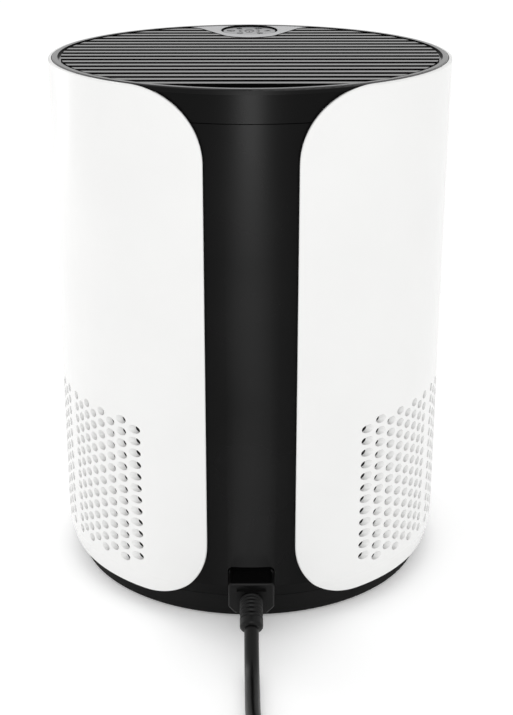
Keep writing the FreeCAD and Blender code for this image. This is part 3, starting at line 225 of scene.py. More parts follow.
def metal(name, colour, roughness, lines, depth, **shader_values):
    """Metal with tool lines: noise drawn out along Z, or round it, by lines."""
    material, tree, shader, place = new_material(name, colour, roughness, Metallic=1.0,
                                                 **shader_values)
    drawn_out = add(tree, "ShaderNodeMapping", Vector=place, Scale=lines).outputs[0]
    streaks = add(tree, "ShaderNodeTexNoise", Vector=drawn_out, Scale=per_metre(0.3),
                  Detail=3.0).outputs["Fac"]
    gloss = add(tree, "ShaderNodeMapRange", Value=streaks, From_Min=0.3, From_Max=0.7,
                To_Min=roughness - 0.1, To_Max=roughness + 0.1).outputs[0]
    clouds = add(tree, "ShaderNodeTexNoise", Vector=place, Scale=per_metre(14.0),
                 Detail=2.0).outputs["Fac"]
    tree.links.new(gloss, shader.inputs["Roughness"])
    coloured_and_bumped(tree, shader, clouds, shade(colour, 0.92), shade(colour, 1),
                        streaks, depth)
    return material


def cloth(name, colour, radius, pitch, depth, roughness=0.85, **shader_values):
    """Cloth round a wall: threads up it and round it, one pitch apart."""
    material, tree, shader, place = new_material(name, colour, roughness,
                                                 **shader_values)
    level = add(tree, "ShaderNodeTexWave", Vector=place, bands_direction="Z",
                Scale=math.pi / (10.0 * pitch * MM), Distortion=0.0).outputs["Fac"]
    weave = add(tree, "ShaderNodeMath", operation="MAXIMUM", in_0=level,
                in_1=round_stripes(tree, place, radius, pitch)).outputs[0]
    coloured_and_bumped(tree, shader, weave, shade(colour, 0.35), colour, weave, depth)
    return material


def grainy(name, first, second, size, depth, roughness, **shader_values):
    """Grains or open cells of this size in two shades."""
    material, tree, shader, place = new_material(name, first, roughness,
                                                 **shader_values)
    cells = add(tree, "ShaderNodeTexVoronoi", Vector=place,
                Scale=per_metre(size)).outputs["Distance"]
    coloured_and_bumped(tree, shader, cells, second, first, cells, depth)
    return material


# ------------------------------------------------------------------------- materials
FINISHES = {}


def make_materials():
    """Every finish of the object, by a short name."""
    tone = colours()
    made = FINISHES
    # Satin white ABS: an even, soft white with a broad, weak shine.
    made["shell"] = moulded("moulded_white_abs", tone.shell, 0.22, 0.8, 0.0015, 0.03,
                            IOR=1.54)
    # Spark-eroded black ABS: hardly a mirror image head on, a soft band where lit, and
    # grey with sky at a low angle.
    made["core"] = moulded("fine_grained_black_abs", tone.core, 0.27, 0.6, 0.0012,
                           0.03, IOR=1.52, Specular_IOR_Level=0.07)
    # The base is duller than the core: a coarser grain, and hardly any shine.
    made["base"] = moulded("coarse_grained_black_abs", linear("1A1A1A"), 0.6, 0.8,
                           0.004, IOR=1.52, Specular_IOR_Level=0.03)
    made["grille"] = louvred("smooth_black_abs", tone.core)
    # Silver-grey lacquer on ABS: a clean grey that brightens towards a low angle.
    made["bezel"] = moulded("silver_lacquered_abs", tone.bezel, 0.2, 0.7, 0.0006,
                            IOR=1.5)
    made["disc"] = moulded("grey_lacquered_abs", tone.disc, 0.25, 0.7, 0.0006, IOR=1.5)
    # Pad-print ink: dead matt against the lacquer round it.
    made["icon"] = moulded("dark_pad_print_ink", tone.icons, 0.7, 0.25, 0.002, IOR=1.45,
                           Specular_IOR_Level=0.05)
    # Flexible PVC: soft sheen, with the faint ripple that drawing leaves.
    made["lead"] = moulded("flexible_black_pvc", tone.lead, 0.3, 0.9, 0.003, IOR=1.53,
                           Specular_IOR_Level=0.2)
    # EPDM rubber: grey-black and dull, never a clear highlight.
    made["foot"] = moulded("moulded_epdm_rubber", linear("1C1C1C"), 0.8, 0.5, 0.02,
                           IOR=1.52, Specular_IOR_Level=0.3)
    # Unpainted polypropylene inside: waxy, with a wide soft shine.
    made["inner"] = moulded("moulded_grey_polypropylene", linear("7F8183"), 0.48, 0.6,
                            0.008, IOR=1.49)
    # The same in dark grey, which hides dust round the fan.
    made["frame"] = moulded("moulded_dark_polypropylene", linear("2A2C2E"), 0.5, 0.6,
                            0.008, IOR=1.49)
    # Glass-filled nylon: fibres show as pale flecks under a satin skin.
    made["impeller"] = grainy("glass_filled_nylon", linear("2B2C2D"), linear("4C4E50"),
                              1.1, 0.006, 0.42, IOR=1.53)
    # Glass-fibre filter paper: warm white, fuzzy, no shine.
    made["paper"] = grainy("pleated_glass_fibre_paper", linear("EFEBDF"),
                           linear("D9D4C4"), 0.9, 0.03, 0.95, IOR=1.4)
    # Activated carbon in cloth: black grains a millimetre across.
    made["carbon"] = grainy("carbon_granule_cloth", linear("141414"), linear("2E2E2E"),
                            1.2, 0.25, 0.7, IOR=1.6)
    # Polyester mesh: threads 0.6 mm apart, drawn 1.2 mm apart so that they show.
    made["mesh"] = cloth("woven_polyester_mesh", linear("3A3C3E"), 87.5, 1.2, 0.15)
    # Open-cell foam: pores half a millimetre across, drawn at one.
    made["foam"] = grainy("open_cell_pu_foam", linear("55575A"), linear("2C2D2F"), 1.0,
                          0.2, 0.95, IOR=1.4)
    # Woven ribbon: a dull blue with a coarse, uneven surface.
    made["ribbon"] = moulded("grosgrain_polyester_ribbon", linear("1E5FA8"), 0.75, 0.5,
                             0.05)
    # Hook-and-loop strap: a dense, dull pile with a pale edge of sheen.
    made["strap"] = grainy("hook_and_loop_strap", linear("161617"), linear("343436"),
                           0.5, 0.12, 0.95, IOR=1.45, Sheen_Weight=0.4)
    # Zinc-plated drawn steel: cool grey, faint lines up the can.
    made["can"] = metal("zinc_plated_drawn_steel", linear("B4B7BA"), 0.34, (8, 8, 0.6),
                        0.004)
    # Ground steel: fine lines round the shaft.
    made["steel"] = metal("ground_bearing_steel", linear("C4C5C7"), 0.22, (0.6, 0.6, 9),
                          0.002)
    # Stacked silicon steel: sheets half a millimetre thick, seen edge on.
    made["stack"] = metal("laminated_silicon_steel", linear("6E6F72"), 0.45,
                          (0.3, 0.3, 6), 0.05)
    # Enamelled copper: round wire side by side, warm and glossy.
    made["copper"] = metal("enamelled_copper_wire", linear("B86A3C"), 0.25,
                           (0.3, 0.3, 4), 0.12, Coat_Weight=0.6)
    # Sintered ferrite: dark grey, like fine slate.
    made["magnet"] = grainy("sintered_ferrite", linear("2D2D30"), linear("3C3C40"), 0.7,
                            0.01, 0.6, IOR=2.0)
    # Bright nickel over brass: yellowish white and clean.
    made["contact"] = metal("nickel_plated_brass", linear("D8D2C2"), 0.2, (1, 4, 4),
                            0.002)
    # Extruded aluminium: pale, with drawing lines up the fins.
    made["aluminium"] = metal("extruded_aluminium", linear("C9CBCD"), 0.32, (6, 6, 0.5),
                              0.006)
    # FR4 under green solder mask: patches of copper beneath show slightly lighter.
    made["board"] = grainy("green_solder_mask_fr4", linear("0F5630"), linear("1B7040"),
                           3.2, 0.01, 0.35, IOR=1.55)
    # Cases of electronic parts, and the brown sleeve of the mains wires.
    made["part"] = moulded("moulded_black_epoxy", linear("1A1A1B"), 0.45, 0.4, 0.006)
    made["wire"] = moulded("pvc_wire_sleeve", linear("7A4A22"), 0.4, 0.8, 0.004)


def paint(finish, *names):
    """Gives CAD nodes a finish."""
    for name in names:
        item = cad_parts[name]
        item.data.materials.clear()
        item.data.materials.append(FINISHES[finish])


# ------------------------------------------------------------------ geometry helpers
SHARP_EDGE = math.radians(35.0)     # edges that bend more than this are rounded


def ease(item, width):
    """Rounds a piece's sharp edges, as a mould does."""
    bevel = item.modifiers.new("eased_edges", "BEVEL")
    bevel.width = width
    bevel.segments = 2
    bevel.limit_method = "ANGLE"
    bevel.angle_limit = SHARP_EDGE
    bevel.harden_normals = True


def piece(name, data, body, finish):
    """Puts a mesh or curve in the scene as a piece that rides on a body."""
    item = bpy.data.objects.new(name, data)
    bpy.context.scene.collection.objects.link(item)
    data.materials.append(FINISHES[finish])
    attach(item, body)
    return item


def skin(shape, rings, closed=False):
    """Joins rings of points into a closed surface; its two ends are capped."""
    rows = [[shape.verts.new(point) for point in ring] for ring in rings]
    count = len(rows[0])
    for first, second in zip(rows, rows[1:] + rows[:1] if closed else rows[1:]):
        for at in range(count):
            after = (at + 1) % count
            shape.faces.new((first[at], first[after], second[after], second[at]))
    if not closed:
        shape.faces.new(rows[0])
        shape.faces.new(rows[-1])


def mesh_of(name, shape, smooth=True):
    """A mesh from a bmesh, with its faces turned outwards."""
    bmesh.ops.recalc_face_normals(shape, faces=shape.faces)
    for face in shape.faces:
        face.smooth = smooth
    mesh = bpy.data.meshes.new(name)
    shape.to_mesh(mesh)
    shape.free()
    return mesh


def circle(radius, height, steps=96, centre=(0.0, 0.0)):
    """A level ring of points, in metres."""
    return [Vector((centre[0] + radius * math.cos(math.tau * at / steps),
                    centre[1] + radius * math.sin(math.tau * at / steps), height))
            for at in range(steps)]


def eased(points, reach, steps=4, closed=True):
    """A flat outline with each corner replaced by a short curve of this reach."""
    flat = [Vector(point) for point in points]
    done = []
    for at, corner in enumerate(flat):
        if not closed and at in (0, len(flat) - 1):
            done.append(corner)
            continue
        before, after = flat[at - 1] - corner, flat[(at + 1) % len(flat)] - corner
        room = min(reach, before.length * 0.49, after.length * 0.49)
        start = corner + before.normalized() * room
        end = corner + after.normalized() * room
        for step in range(steps + 1):
            part = step / steps
            done.append(start * (1 - part) ** 2 + corner * (2 * part * (1 - part))
                        + end * part ** 2)
    return done


# ------------------------------------------------------------------------ mains lead
CORD_POINTS = [
    (0.0, -0.141, 0.0176), (0.0, -0.1505, 0.0125), (0.0001, -0.163, 0.0062),
    (0.0002, -0.176, 0.00395), (0.0004, -0.208, 0.00395), (0.0061, -0.2295, 0.00395),
    (0.0171, -0.2486, 0.00395), (0.028, -0.2656, 0.00395), (0.0338, -0.2847, 0.00395)]
TAIL_POINTS = [
    (0.0309, -0.302, 0.0118), (0.0306, -0.323, 0.0129), (0.0268, -0.345, 0.007),
    (0.013, -0.3675, 0.0048), (-0.006, -0.3815, 0.0086), (-0.028, -0.385, 0.0105)]
COIL_CENTRE = Vector((-0.016, -0.302, 0.0))
POINTS_PER_TURN = 16
# Each stage of the coil: turns so far, radius and height in metres. Three turns go
# inwards on the floor, then two go outwards on top of them.
COIL_PLAN = [(0.0, 0.05075, 0.0049), (1.0, 0.043, 0.0049), (2.0, 0.03525, 0.0049),
             (2.6, 0.03525, 0.0049), (2.95, 0.038, 0.0127), (4.0, 0.0425, 0.0127),
             (5.0, 0.0469, 0.0127)]


def coil_turns():
    """The coil's turns, clockwise from above, as more points of the lead's line."""
    pull = 1.0 / 0.981        # the spline runs inside its control points by this much
    spots = []
    for step in range(int(COIL_PLAN[-1][0] * POINTS_PER_TURN)):
        turn = step / POINTS_PER_TURN
        start, end = next(pair for pair in zip(COIL_PLAN, COIL_PLAN[1:])
                          if pair[0][0] <= turn <= pair[1][0])
        part = (turn - start[0]) / (end[0] - start[0])
        radius = (start[1] + (end[1] - start[1]) * part) * pull
        height = start[2] + (end[2] - start[2]) * part * part * (3 - 2 * part)
        spots.append((COIL_CENTRE.x + radius * math.cos(-turn * math.tau),
                      COIL_CENTRE.y + radius * math.sin(-turn * math.tau), height))
    return spots


class PURIFIER_OT_lead_fittings(bpy.types.Operator):
    """Makes the connector, the strain relief, the plug and the coil's strap"""
    bl_idname = "purifier.lead_fittings"
    bl_label = "Lead fittings"

    def execute(self, context):
        paint("contact", "plug_blades")
        self.connector()
        self.strain_relief()
        self.plug()
        self.strap()
        return {"FINISHED"}

    def connector(self):
        """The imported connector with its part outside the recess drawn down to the
        moulding's real depth, its boss lowered, and its edges rounded."""
        low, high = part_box("connector_body")
        shape = bmesh.new()
        shape.from_mesh(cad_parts["connector_body"].data)
        bmesh.ops.remove_doubles(shape, verts=shape.verts, dist=0.00001)
        outside = -0.1090         # just clear of the base's wall
        for cut in (outside + 0.0006, outside - 0.0002):
            bmesh.ops.bisect_plane(shape, geom=shape.verts[:] + shape.edges[:]
                                   + shape.faces[:], plane_co=(0, cut, 0),
                                   plane_no=(0, 1, 0))
        face = low.y + 0.002      # the flat end that the boss stands on
        boss, underside = 0.0228, 0.0150
        for vert in shape.verts:
            spot = vert.co
            if spot.y < face + 0.0001 and abs(spot.x) < 0.0079:
                spot.z = boss + (spot.z - (low.z + high.z) / 2 + 0.00035) * 1.06
            elif spot.y < outside:
                spot.z = underside + (spot.z - low.z) * 1.083
        bmesh.ops.dissolve_limit(shape, angle_limit=0.03, verts=shape.verts,
                                 edges=shape.edges)
        item = piece("moulded_connector", mesh_of("connector", shape, False), "lead",
                     "lead")
        ease(item, sizes().edge_round * 1.6)
        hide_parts("connector_body")

    def strain_relief(self):
        """A drooping sleeve with shallow rings and a plain collar at its end."""
        # Its radius and the rings' depth in metres, then the parts of its length where
        # the rings stop and where its end starts to round off.
        wide, groove, ringed, rounded = 0.0062, 0.0008, 0.8, 0.93
        start = Vector((0.0, -0.1240, 0.0228))
        end = Vector(CORD_POINTS[0])
        knee = Vector((0.0, start.y - 0.0070, start.z))
        rings, stations = [], 180
        for at in range(stations + 1):
            part = at / stations
            spot = (start * (1 - part) ** 2 + knee * (2 * part * (1 - part))
                    + (end + (end - knee).normalized() * 0.0012) * part ** 2)
            ahead = ((knee - start) * (1 - part) + (end - knee) * part).normalized()
            side = Vector((1, 0, 0))
            up = side.cross(ahead)
            wave = 0.5 + 0.5 * math.cos(
                math.tau * sizes().relief_rings * part / ringed)
            radius = wide - (groove * wave ** 1.6 if 0.0 < part < ringed else 0.0)
            radius -= 0.0012 * max(0.0, (part - rounded) / (1.0 - rounded)) ** 2
            rings.append([spot + (side * math.cos(math.tau * turn / 48)
                                  + up * math.sin(math.tau * turn / 48)) * radius
                          for turn in range(48)])
        shape = bmesh.new()
        skin(shape, rings)
        item = piece("ringed_strain_relief", mesh_of("strain_relief", shape), "lead",
                     "lead")
        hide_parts("strain_relief")

    def plug(self):
        """A moulded plug: a ribbed sleeve that swells into a body with finger grips."""
        start, before = Vector(TAIL_POINTS[-1]), Vector(TAIL_POINTS[-2])
        ahead = Vector((start.x - before.x, start.y - before.y, 0)).normalized()
        place = (Matrix.Translation(start)
                 @ ahead.to_track_quat("X", "Z").to_matrix().to_4x4())
        # Along the plug in millimetres: place, half width, half height, squareness.
        plan = [(0.0, 5.2, 5.2, 2.0), (3.0, 5.6, 5.6, 2.0), (20.0, 7.0, 7.0, 2.0),
                (27.0, 8.4, 7.6, 2.2), (33.0, 12.2, 9.6, 3.0), (38.0, 13.4, 10.4, 3.6),
                (57.0, 13.2, 10.3, 3.8), (60.5, 12.6, 9.8, 3.8), (62.0, 11.4, 8.6, 3.8)]
        sleeve, grips = (3.0, 24.0), (40.0, 56.0)     # where its rings and ribs are
        rings = []
        for (x0, w0, h0, p0), (x1, w1, h1, p1) in zip(plan, plan[1:]):
            steps = max(4, int((x1 - x0) * 1.6))
            for step in range(steps + (x1 == plan[-1][0])):
                part = step / steps
                x = x0 + (x1 - x0) * part
                blend = part * part * (3 - 2 * part)
                wide, tall = w0 + (w1 - w0) * blend, h0 + (h1 - h0) * blend
                power = p0 + (p1 - p0) * blend
                if sleeve[0] < x < sleeve[1]:
                    groove = 0.45 * max(0.0, math.cos(math.tau * x / 3.4))
                    wide, tall = wide - groove, tall - groove
                if grips[0] < x < grips[1]:
                    wave = math.sin(math.pi * sizes().plug_ribs * (x - grips[0])
                                    / (grips[1] - grips[0]))
                    wide -= 0.55 * wave * wave
                ring = []
                for turn in range(56):
                    angle = math.tau * turn / 56
                    across, up = math.cos(angle), math.sin(angle)
                    ring.append(place @ (Vector((
                        x, wide * math.copysign(abs(across) ** (2 / power), across),
                        tall * math.copysign(abs(up) ** (2 / power), up))) * MM))
                rings.append(ring)
        shape = bmesh.new()
        skin(shape, rings)
        item = piece("moulded_mains_plug", mesh_of("mains_plug", shape), "lead", "lead")
        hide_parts("mains_plug")

    def strap(self):
        """A strap round the coil's turns, with its free end laid back on top."""
        middle = Vector((COIL_CENTRE.x - 0.0410, 0.0, 0.0092))
        # Half its width and height inside, its thickness, and half its breadth.
        wide, tall, thick, half = 0.0107, 0.0082, 0.0009, 0.006
        shape = bmesh.new()
        for grow, keep in ((0.0, range(72)), (thick + 0.0001, range(10, 34))):
            rings = []
            for turn in keep:
                angle = math.tau * turn / 72
                across, up = math.cos(angle), math.sin(angle)
                ring = []
                for out, side in ((0.0, -1), (thick, -1), (thick, 1), (0.0, 1)):
                    reach = grow + out
                    ring.append(Vector((
                        middle.x + (wide + reach) * math.copysign(
                            abs(across) ** 0.5, across),
                        COIL_CENTRE.y + half * side,
                        middle.z + (tall + reach) * math.copysign(abs(up) ** 0.5, up))))
                rings.append(ring)
            skin(shape, rings, closed=grow == 0.0)
        item = piece("coil_strap", mesh_of("coil_strap", shape), "lead", "strap")
        ease(item, 0.0002)
        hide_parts("coil_tie")


class PURIFIER_OT_lead(bpy.types.Operator):
    """Lays the mains lead: along the floor, into its coil, and on to its plug"""
    bl_idname = "purifier.lead"
    bl_label = "Mains lead"

    def execute(self, context):
        route = CORD_POINTS + coil_turns() + TAIL_POINTS
        curve = bpy.data.curves.new("mains_lead", "CURVE")
        curve.dimensions = "3D"
        curve.bevel_depth = sizes().cord_radius
        curve.bevel_resolution = 8
        curve.resolution_u = 10
        curve.use_fill_caps = True
        line = curve.splines.new("NURBS")
        line.points.add(len(route) - 1)
        for point, spot in zip(line.points, route):
            point.co = (*spot, 1.0)
        line.order_u = 3
        line.use_endpoint_u = True
        lead = piece("mains_lead", curve, "lead", "lead")
        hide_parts("power_cord", "cord_coil", "cord_tail")
        fittings = [bpy.data.objects[name] for name in (
            "moulded_connector", "ringed_strain_relief", "moulded_mains_plug",
            "coil_strap")]
        fittings.append(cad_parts["plug_blades"])
        return {"FINISHED"}


# ------------------------------------------------------------------------------ body
class PURIFIER_OT_shells(bpy.types.Operator):
    """Finishes the two white side shells"""
    bl_idname = "purifier.shells"
    bl_label = "Side shells"

    def execute(self, context):
        paint("shell", "outer_shell_left", "outer_shell_right")
        return {"FINISHED"}


class PURIFIER_OT_core(bpy.types.Operator):
    """Finishes the black core, its cap, the base and the mains inlet"""
    bl_idname = "purifier.core"
    bl_label = "Core and base"

    def execute(self, context):
        paint("core", "main_housing", "top_cap")
        paint("base", "base_cover", "inlet_socket")
        paint("foot", "foot_pads")
        paint("contact", "inlet_pins")
        return {"FINISHED"}


class PURIFIER_OT_outlet(bpy.types.Operator):
    """Finishes the outlet grille"""
    bl_idname = "purifier.outlet"
    bl_label = "Outlet grille"

    def execute(self, context):
        paint("grille", "outlet_grille")
        return {"FINISHED"}


# -------------------------------------------------------------------------- controls
def arc(x, y, radius, start, end, steps=14):
    """Points of an arc, in millimetres and degrees."""
    return [(x + radius * math.cos(math.radians(start + (end - start) * at / steps)),
             y + radius * math.sin(math.radians(start + (end - start) * at / steps)))
            for at in range(steps + 1)]


def icon_strokes():
    """Plain icons as strokes: each is a list of points in millimetres."""
    strokes = [arc(0, 0, 2.3, 125, 415), [(0, 0.7), (0, 3.0)]]          # power
    strokes += [arc(0, 0, 5.3, 60 * at + 12, 60 * at + 48, 8) for at in range(6)]
    for blade in range(3):                                              # fan
        strokes.append([(-9.6 + x, y) for x, y in arc(0, 0, 0.9, 120 * blade,
                                                      120 * blade + 150, 8)])
        turn = math.radians(120 * blade)
        strokes.append([(-9.6 + 0.5 * math.cos(turn), 0.5 * math.sin(turn)),
                        (-9.6 + 2.1 * math.cos(turn + 0.5), 2.1 * math.sin(turn + 0.5))])
    strokes += [arc(9.6, 0, 1.9, 0, 360), [(9.6, 1.2), (9.6, 0), (10.5, -0.5)]]   # timer
    strokes += [arc(-4.9, 8.4, 1.8, 60, 300), arc(-3.9, 8.4, 1.5, 95, 265)]       # moon
    strokes += [[(3.6, 7.0), (6.2, 7.0), (6.2, 9.0), (3.6, 9.0), (3.6, 7.0)],
                arc(4.9, 9.0, 0.9, 0, 180, 8)]                                    # lock
    strokes += [arc(-4.9, -8.4, 1.1, 0, 360)] + [                                 # lamp
        [(-4.9 + 1.6 * math.cos(a), -8.4 + 1.6 * math.sin(a)),
         (-4.9 + 2.2 * math.cos(a), -8.4 + 2.2 * math.sin(a))]
        for a in (math.radians(45 * at) for at in range(8))]
    strokes += [arc(4.2, -8.2, 2.2, -60, 60), arc(6.4, -8.2, 2.2, 120, 240),
                [(5.3, -10.0), (5.3, -7.2)]]                                      # leaf
    return strokes


class PURIFIER_OT_controls(bpy.types.Operator):
    """Makes the bezel, the dished control disc and its icons"""
    bl_idname = "purifier.controls"
    bl_label = "Controls"

    def execute(self, context):
        paint("inner", "control_tray", "board_support")
        paint("board", "control_board")
        paint("part", "tact_switch")
        low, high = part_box("button_cap")
        self.centre = ((low.x + high.x) / 2, (low.y + high.y) / 2)
        self.radius = (high.x - low.x) / 2
        self.bezel()
        self.disc(low.z, high.z)
        self.icons(high.z)
        return {"FINISHED"}

    def bezel(self):
        """A bell-shaped plate round the disc, with a finger lip behind it."""
        low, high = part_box("control_bezel")
        # The slope of its flanks and of its ends, then in metres: the radius of its
        # nose, the length of a flank, the radius of the outward turn, and how far back
        # the middle of the nose is.
        side, flare = math.radians(27.0), math.radians(60.0)
        nose, flank, turn, centre = 0.0178, 0.0274, 0.015, 0.0742
        start = Vector((nose * math.cos(side), centre - nose * math.sin(side)))
        bend = start + Vector((math.sin(side), math.cos(side))) * flank
        hub = bend + Vector((math.cos(side), -math.sin(side))) * turn
        half = [Vector((nose * math.sin(at), centre - nose * math.cos(at)))
                for at in (math.radians(63.0) * step / 20 for step in range(21))]
        half += [start.lerp(bend, step / 8) for step in range(1, 9)]
        half += [hub - Vector((math.cos(at), -math.sin(at))) * turn
                 for at in (side + (flare - side) * step / 8 for step in range(1, 9))]
        reach = high.y
        out = half[-1] + Vector((math.sin(flare), math.cos(flare))) * 0.002
        edge = math.atan2(out.x, math.sqrt(reach ** 2 - out.x ** 2))
        half += [Vector((reach * math.sin(edge * (1 - step / 14)),
                         reach * math.cos(edge * (1 - step / 14)))) for step in range(15)]
        rim = half + [Vector((-point.x, point.y)) for point in reversed(half[1:-1])]
        well = Vector(self.centre)
        lip = 0.0028                        # width of the finger lip
        bore = self.radius + 0.0013         # leaves a dark groove round the disc
        rings = [[well + Vector((math.cos(math.tau * at / 120),
                                 math.sin(math.tau * at / 120))) * (bore + out)
                  for at in range(120)] for out in (0.0, 0.0006, 0.0013, 0.002, lip)]
        points = list(rim)
        edges = [(at, (at + 1) % len(rim)) for at in range(len(rim))]
        for number, ring in enumerate(rings):
            first = len(points)
            inside = [point for point in ring if point.y < reach - 0.001
                      and self.inside(point, rim)] if number else ring
            points += inside
            if not number:
                edges += [(first + (at + 1) % 120, first + at) for at in range(120)]
        spots, _, faces, _, _, _ = delaunay_2d_cdt(points, edges, [], 1, 1e-7)
        shape = bmesh.new()
        tops, bottoms = [], []
        for spot in spots:
            away = spot - well
            rear = max(0.0, away.y / max(away.length, 1e-9)) ** 0.8
            fall = max(0.0, 1 - (away.length - bore) / lip)
            rise = sizes().lip_rise * rear * fall * fall * (3 - 2 * fall)
            tops.append(shape.verts.new((spot.x, spot.y, high.z + rise)))
            bottoms.append(shape.verts.new((spot.x, spot.y, low.z)))
        for corners in faces:
            middle = sum((spots[at] for at in corners), Vector((0, 0))) / len(corners)
            if (middle - well).length < bore * 0.998 or not self.inside(middle, rim):
                continue
            shape.faces.new([tops[at] for at in corners])
            shape.faces.new([bottoms[at] for at in reversed(corners)])
        for edge in [edge for edge in shape.edges if edge.is_boundary]:
            if all(point.co.z > low.z + 0.0001 for point in edge.verts):
                pair = [tops.index(point) for point in edge.verts]
                shape.faces.new([tops[pair[0]], tops[pair[1]], bottoms[pair[1]],
                                 bottoms[pair[0]]])
        for point in [point for point in shape.verts if not point.link_faces]:
            shape.verts.remove(point)
        mesh = mesh_of("bell_bezel", shape, False)
        item = piece("bell_bezel", mesh, "housing", "bezel")
        mesh.materials.append(FINISHES["core"])
        for face in mesh.polygons:          # its walls are left in the black plastic
            face.material_index = int(abs(face.normal.z) < 0.4)
        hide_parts("control_bezel")

    @staticmethod
    def inside(point, outline):
        """Whether a point is inside a closed outline."""
        hits = False
        for first, second in zip(outline, outline[1:] + outline[:1]):
            if (first.y > point.y) != (second.y > point.y):
                if point.x < first.x + (point.y - first.y) * (second.x - first.x) / (
                        second.y - first.y):
                    hits = not hits
        return hits

    def surface(self, top, away):
        """Height of the dished disc at a distance from its centre."""
        part = min(1.0, away / (self.radius - 0.001))
        return top - sizes().disc_dish * (1 - part * part)

    def disc(self, bottom, top):
        """The disc with its skirt and stem, turned in one piece."""
        outer = self.radius
        profile = [(away * MM, self.surface(top, away * MM)) for away in
                   (0.6, 2, 4, 6, 8, 10, 12, 14)]
        profile += [(point.x, point.y) for point in eased(
            [(outer - 0.0012, top), (outer, top), (outer, top - 0.0024),
             (outer - 0.001, top - 0.0024), (outer - 0.001, top - 0.0049),
             (outer - 0.0022, top - 0.0049), (outer - 0.0022, top - 0.0024),
             (0.003, top - 0.0024), (0.003, bottom), (0.0006, bottom)], 0.0004, 4, False)]
        shape = bmesh.new()
        skin(shape, [circle(radius, height, 128, self.centre)
                     for radius, height in profile])
        item = piece("dished_control_disc", mesh_of("control_disc", shape), "button",
                     "disc")
        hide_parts("button_cap")

    def icons(self, top):
        """Printed icons that stand a hair off the disc, read from the +Y side."""
        half = sizes().icon_stroke / 2
        shape = bmesh.new()
        for stroke in icon_strokes():
            line = [Vector((-x * MM, -y * MM)) * 1.15 for x, y in stroke]
            rings = []
            for at, spot in enumerate(line):
                ahead = (line[min(at + 1, len(line) - 1)] - line[max(at - 1, 0)])
                ahead.normalize()
                side = Vector((-ahead.y, ahead.x)) * half
                ring = []
                for point, lift in ((spot - side, 0.00004), (spot + side, 0.00004),
                                    (spot + side, -0.00015), (spot - side, -0.00015)):
                    ring.append(Vector((self.centre[0] + point.x,
                                        self.centre[1] + point.y,
                                        self.surface(top, point.length) + lift)))
                rings.append(ring)
            skin(shape, rings)
        piece("control_icons", mesh_of("control_icons", shape, False), "button", "icon")


# ---------------------------------------------------------------------------- inside
class PURIFIER_OT_filter(bpy.types.Operator):
    """Finishes the cartridge filter and makes its seal and its pull ribbon"""
    bl_idname = "purifier.filter"
    bl_label = "Filter"

    def execute(self, context):
        paint("frame", "filter_bottom_cap", "filter_top_ring")
        paint("mesh", "prefilter_mesh")
        paint("carbon", "carbon_sleeve")
        paint("paper", "filter_media")
        low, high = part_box("filter_gasket")
        outer = high.x
        inner = outer - 0.012
        profile = eased([(inner, low.z), (outer, low.z), (outer, high.z),
                         (inner, high.z)], 0.002, 6)
        shape = bmesh.new()
        skin(shape, [circle(point.x, point.y) for point in profile], closed=True)
        seal = piece("foam_filter_seal", mesh_of("filter_seal", shape), "housing",
                     "foam")
        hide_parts("filter_gasket")
        low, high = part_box("filter_pull_tab")
        rings = []
        for step in range(41):
            part = step / 40
            y = low.y + (high.y - low.y) * part
            sag = 0.0004 * math.sin(math.pi * part) ** 2
            wide = high.x * (1.0 if 0.06 < part < 0.94 else 0.97)
            rings.append([Vector((x, y, z)) for x, z in (
                (-wide, high.z - 0.0006 - sag), (wide, high.z - 0.0006 - sag),
                (wide, high.z - sag * 0.9), (-wide, high.z - sag * 0.9))])
        shape = bmesh.new()
        skin(shape, rings)
        tab = piece("filter_pull_ribbon", mesh_of("pull_ribbon", shape, False),
                    "housing", "ribbon")
        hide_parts("filter_pull_tab")
        return {"FINISHED"}


class PURIFIER_OT_fan(bpy.types.Operator):
    """Finishes the fan stage and its motor"""
    bl_idname = "purifier.fan"
    bl_label = "Fan and motor"

    def execute(self, context):
        paint("inner", "fan_deck", "diffuser", "motor_cover")
        paint("impeller", "impeller")
        paint("can", "motor_can", "motor_end_plate")
        paint("steel", "bearing_lower", "bearing_upper", "motor_shaft", "impeller_nut",
              "housing_screws")
        paint("stack", "stator_core")
        paint("copper", "stator_windings")
        paint("magnet", "rotor_magnet")
        return {"FINISHED"}


class PURIFIER_OT_electronics(bpy.types.Operator):
    """Finishes the power board, its parts and the safety switch"""
    bl_idname = "purifier.electronics"
    bl_label = "Electronics"

    def execute(self, context):
        paint("board", "power_board")
        paint("part", "transformer", "filter_capacitor", "interlock_switch")
        paint("aluminium", "heat_sink")
        paint("wire", "inlet_wires")
        return {"FINISHED"}


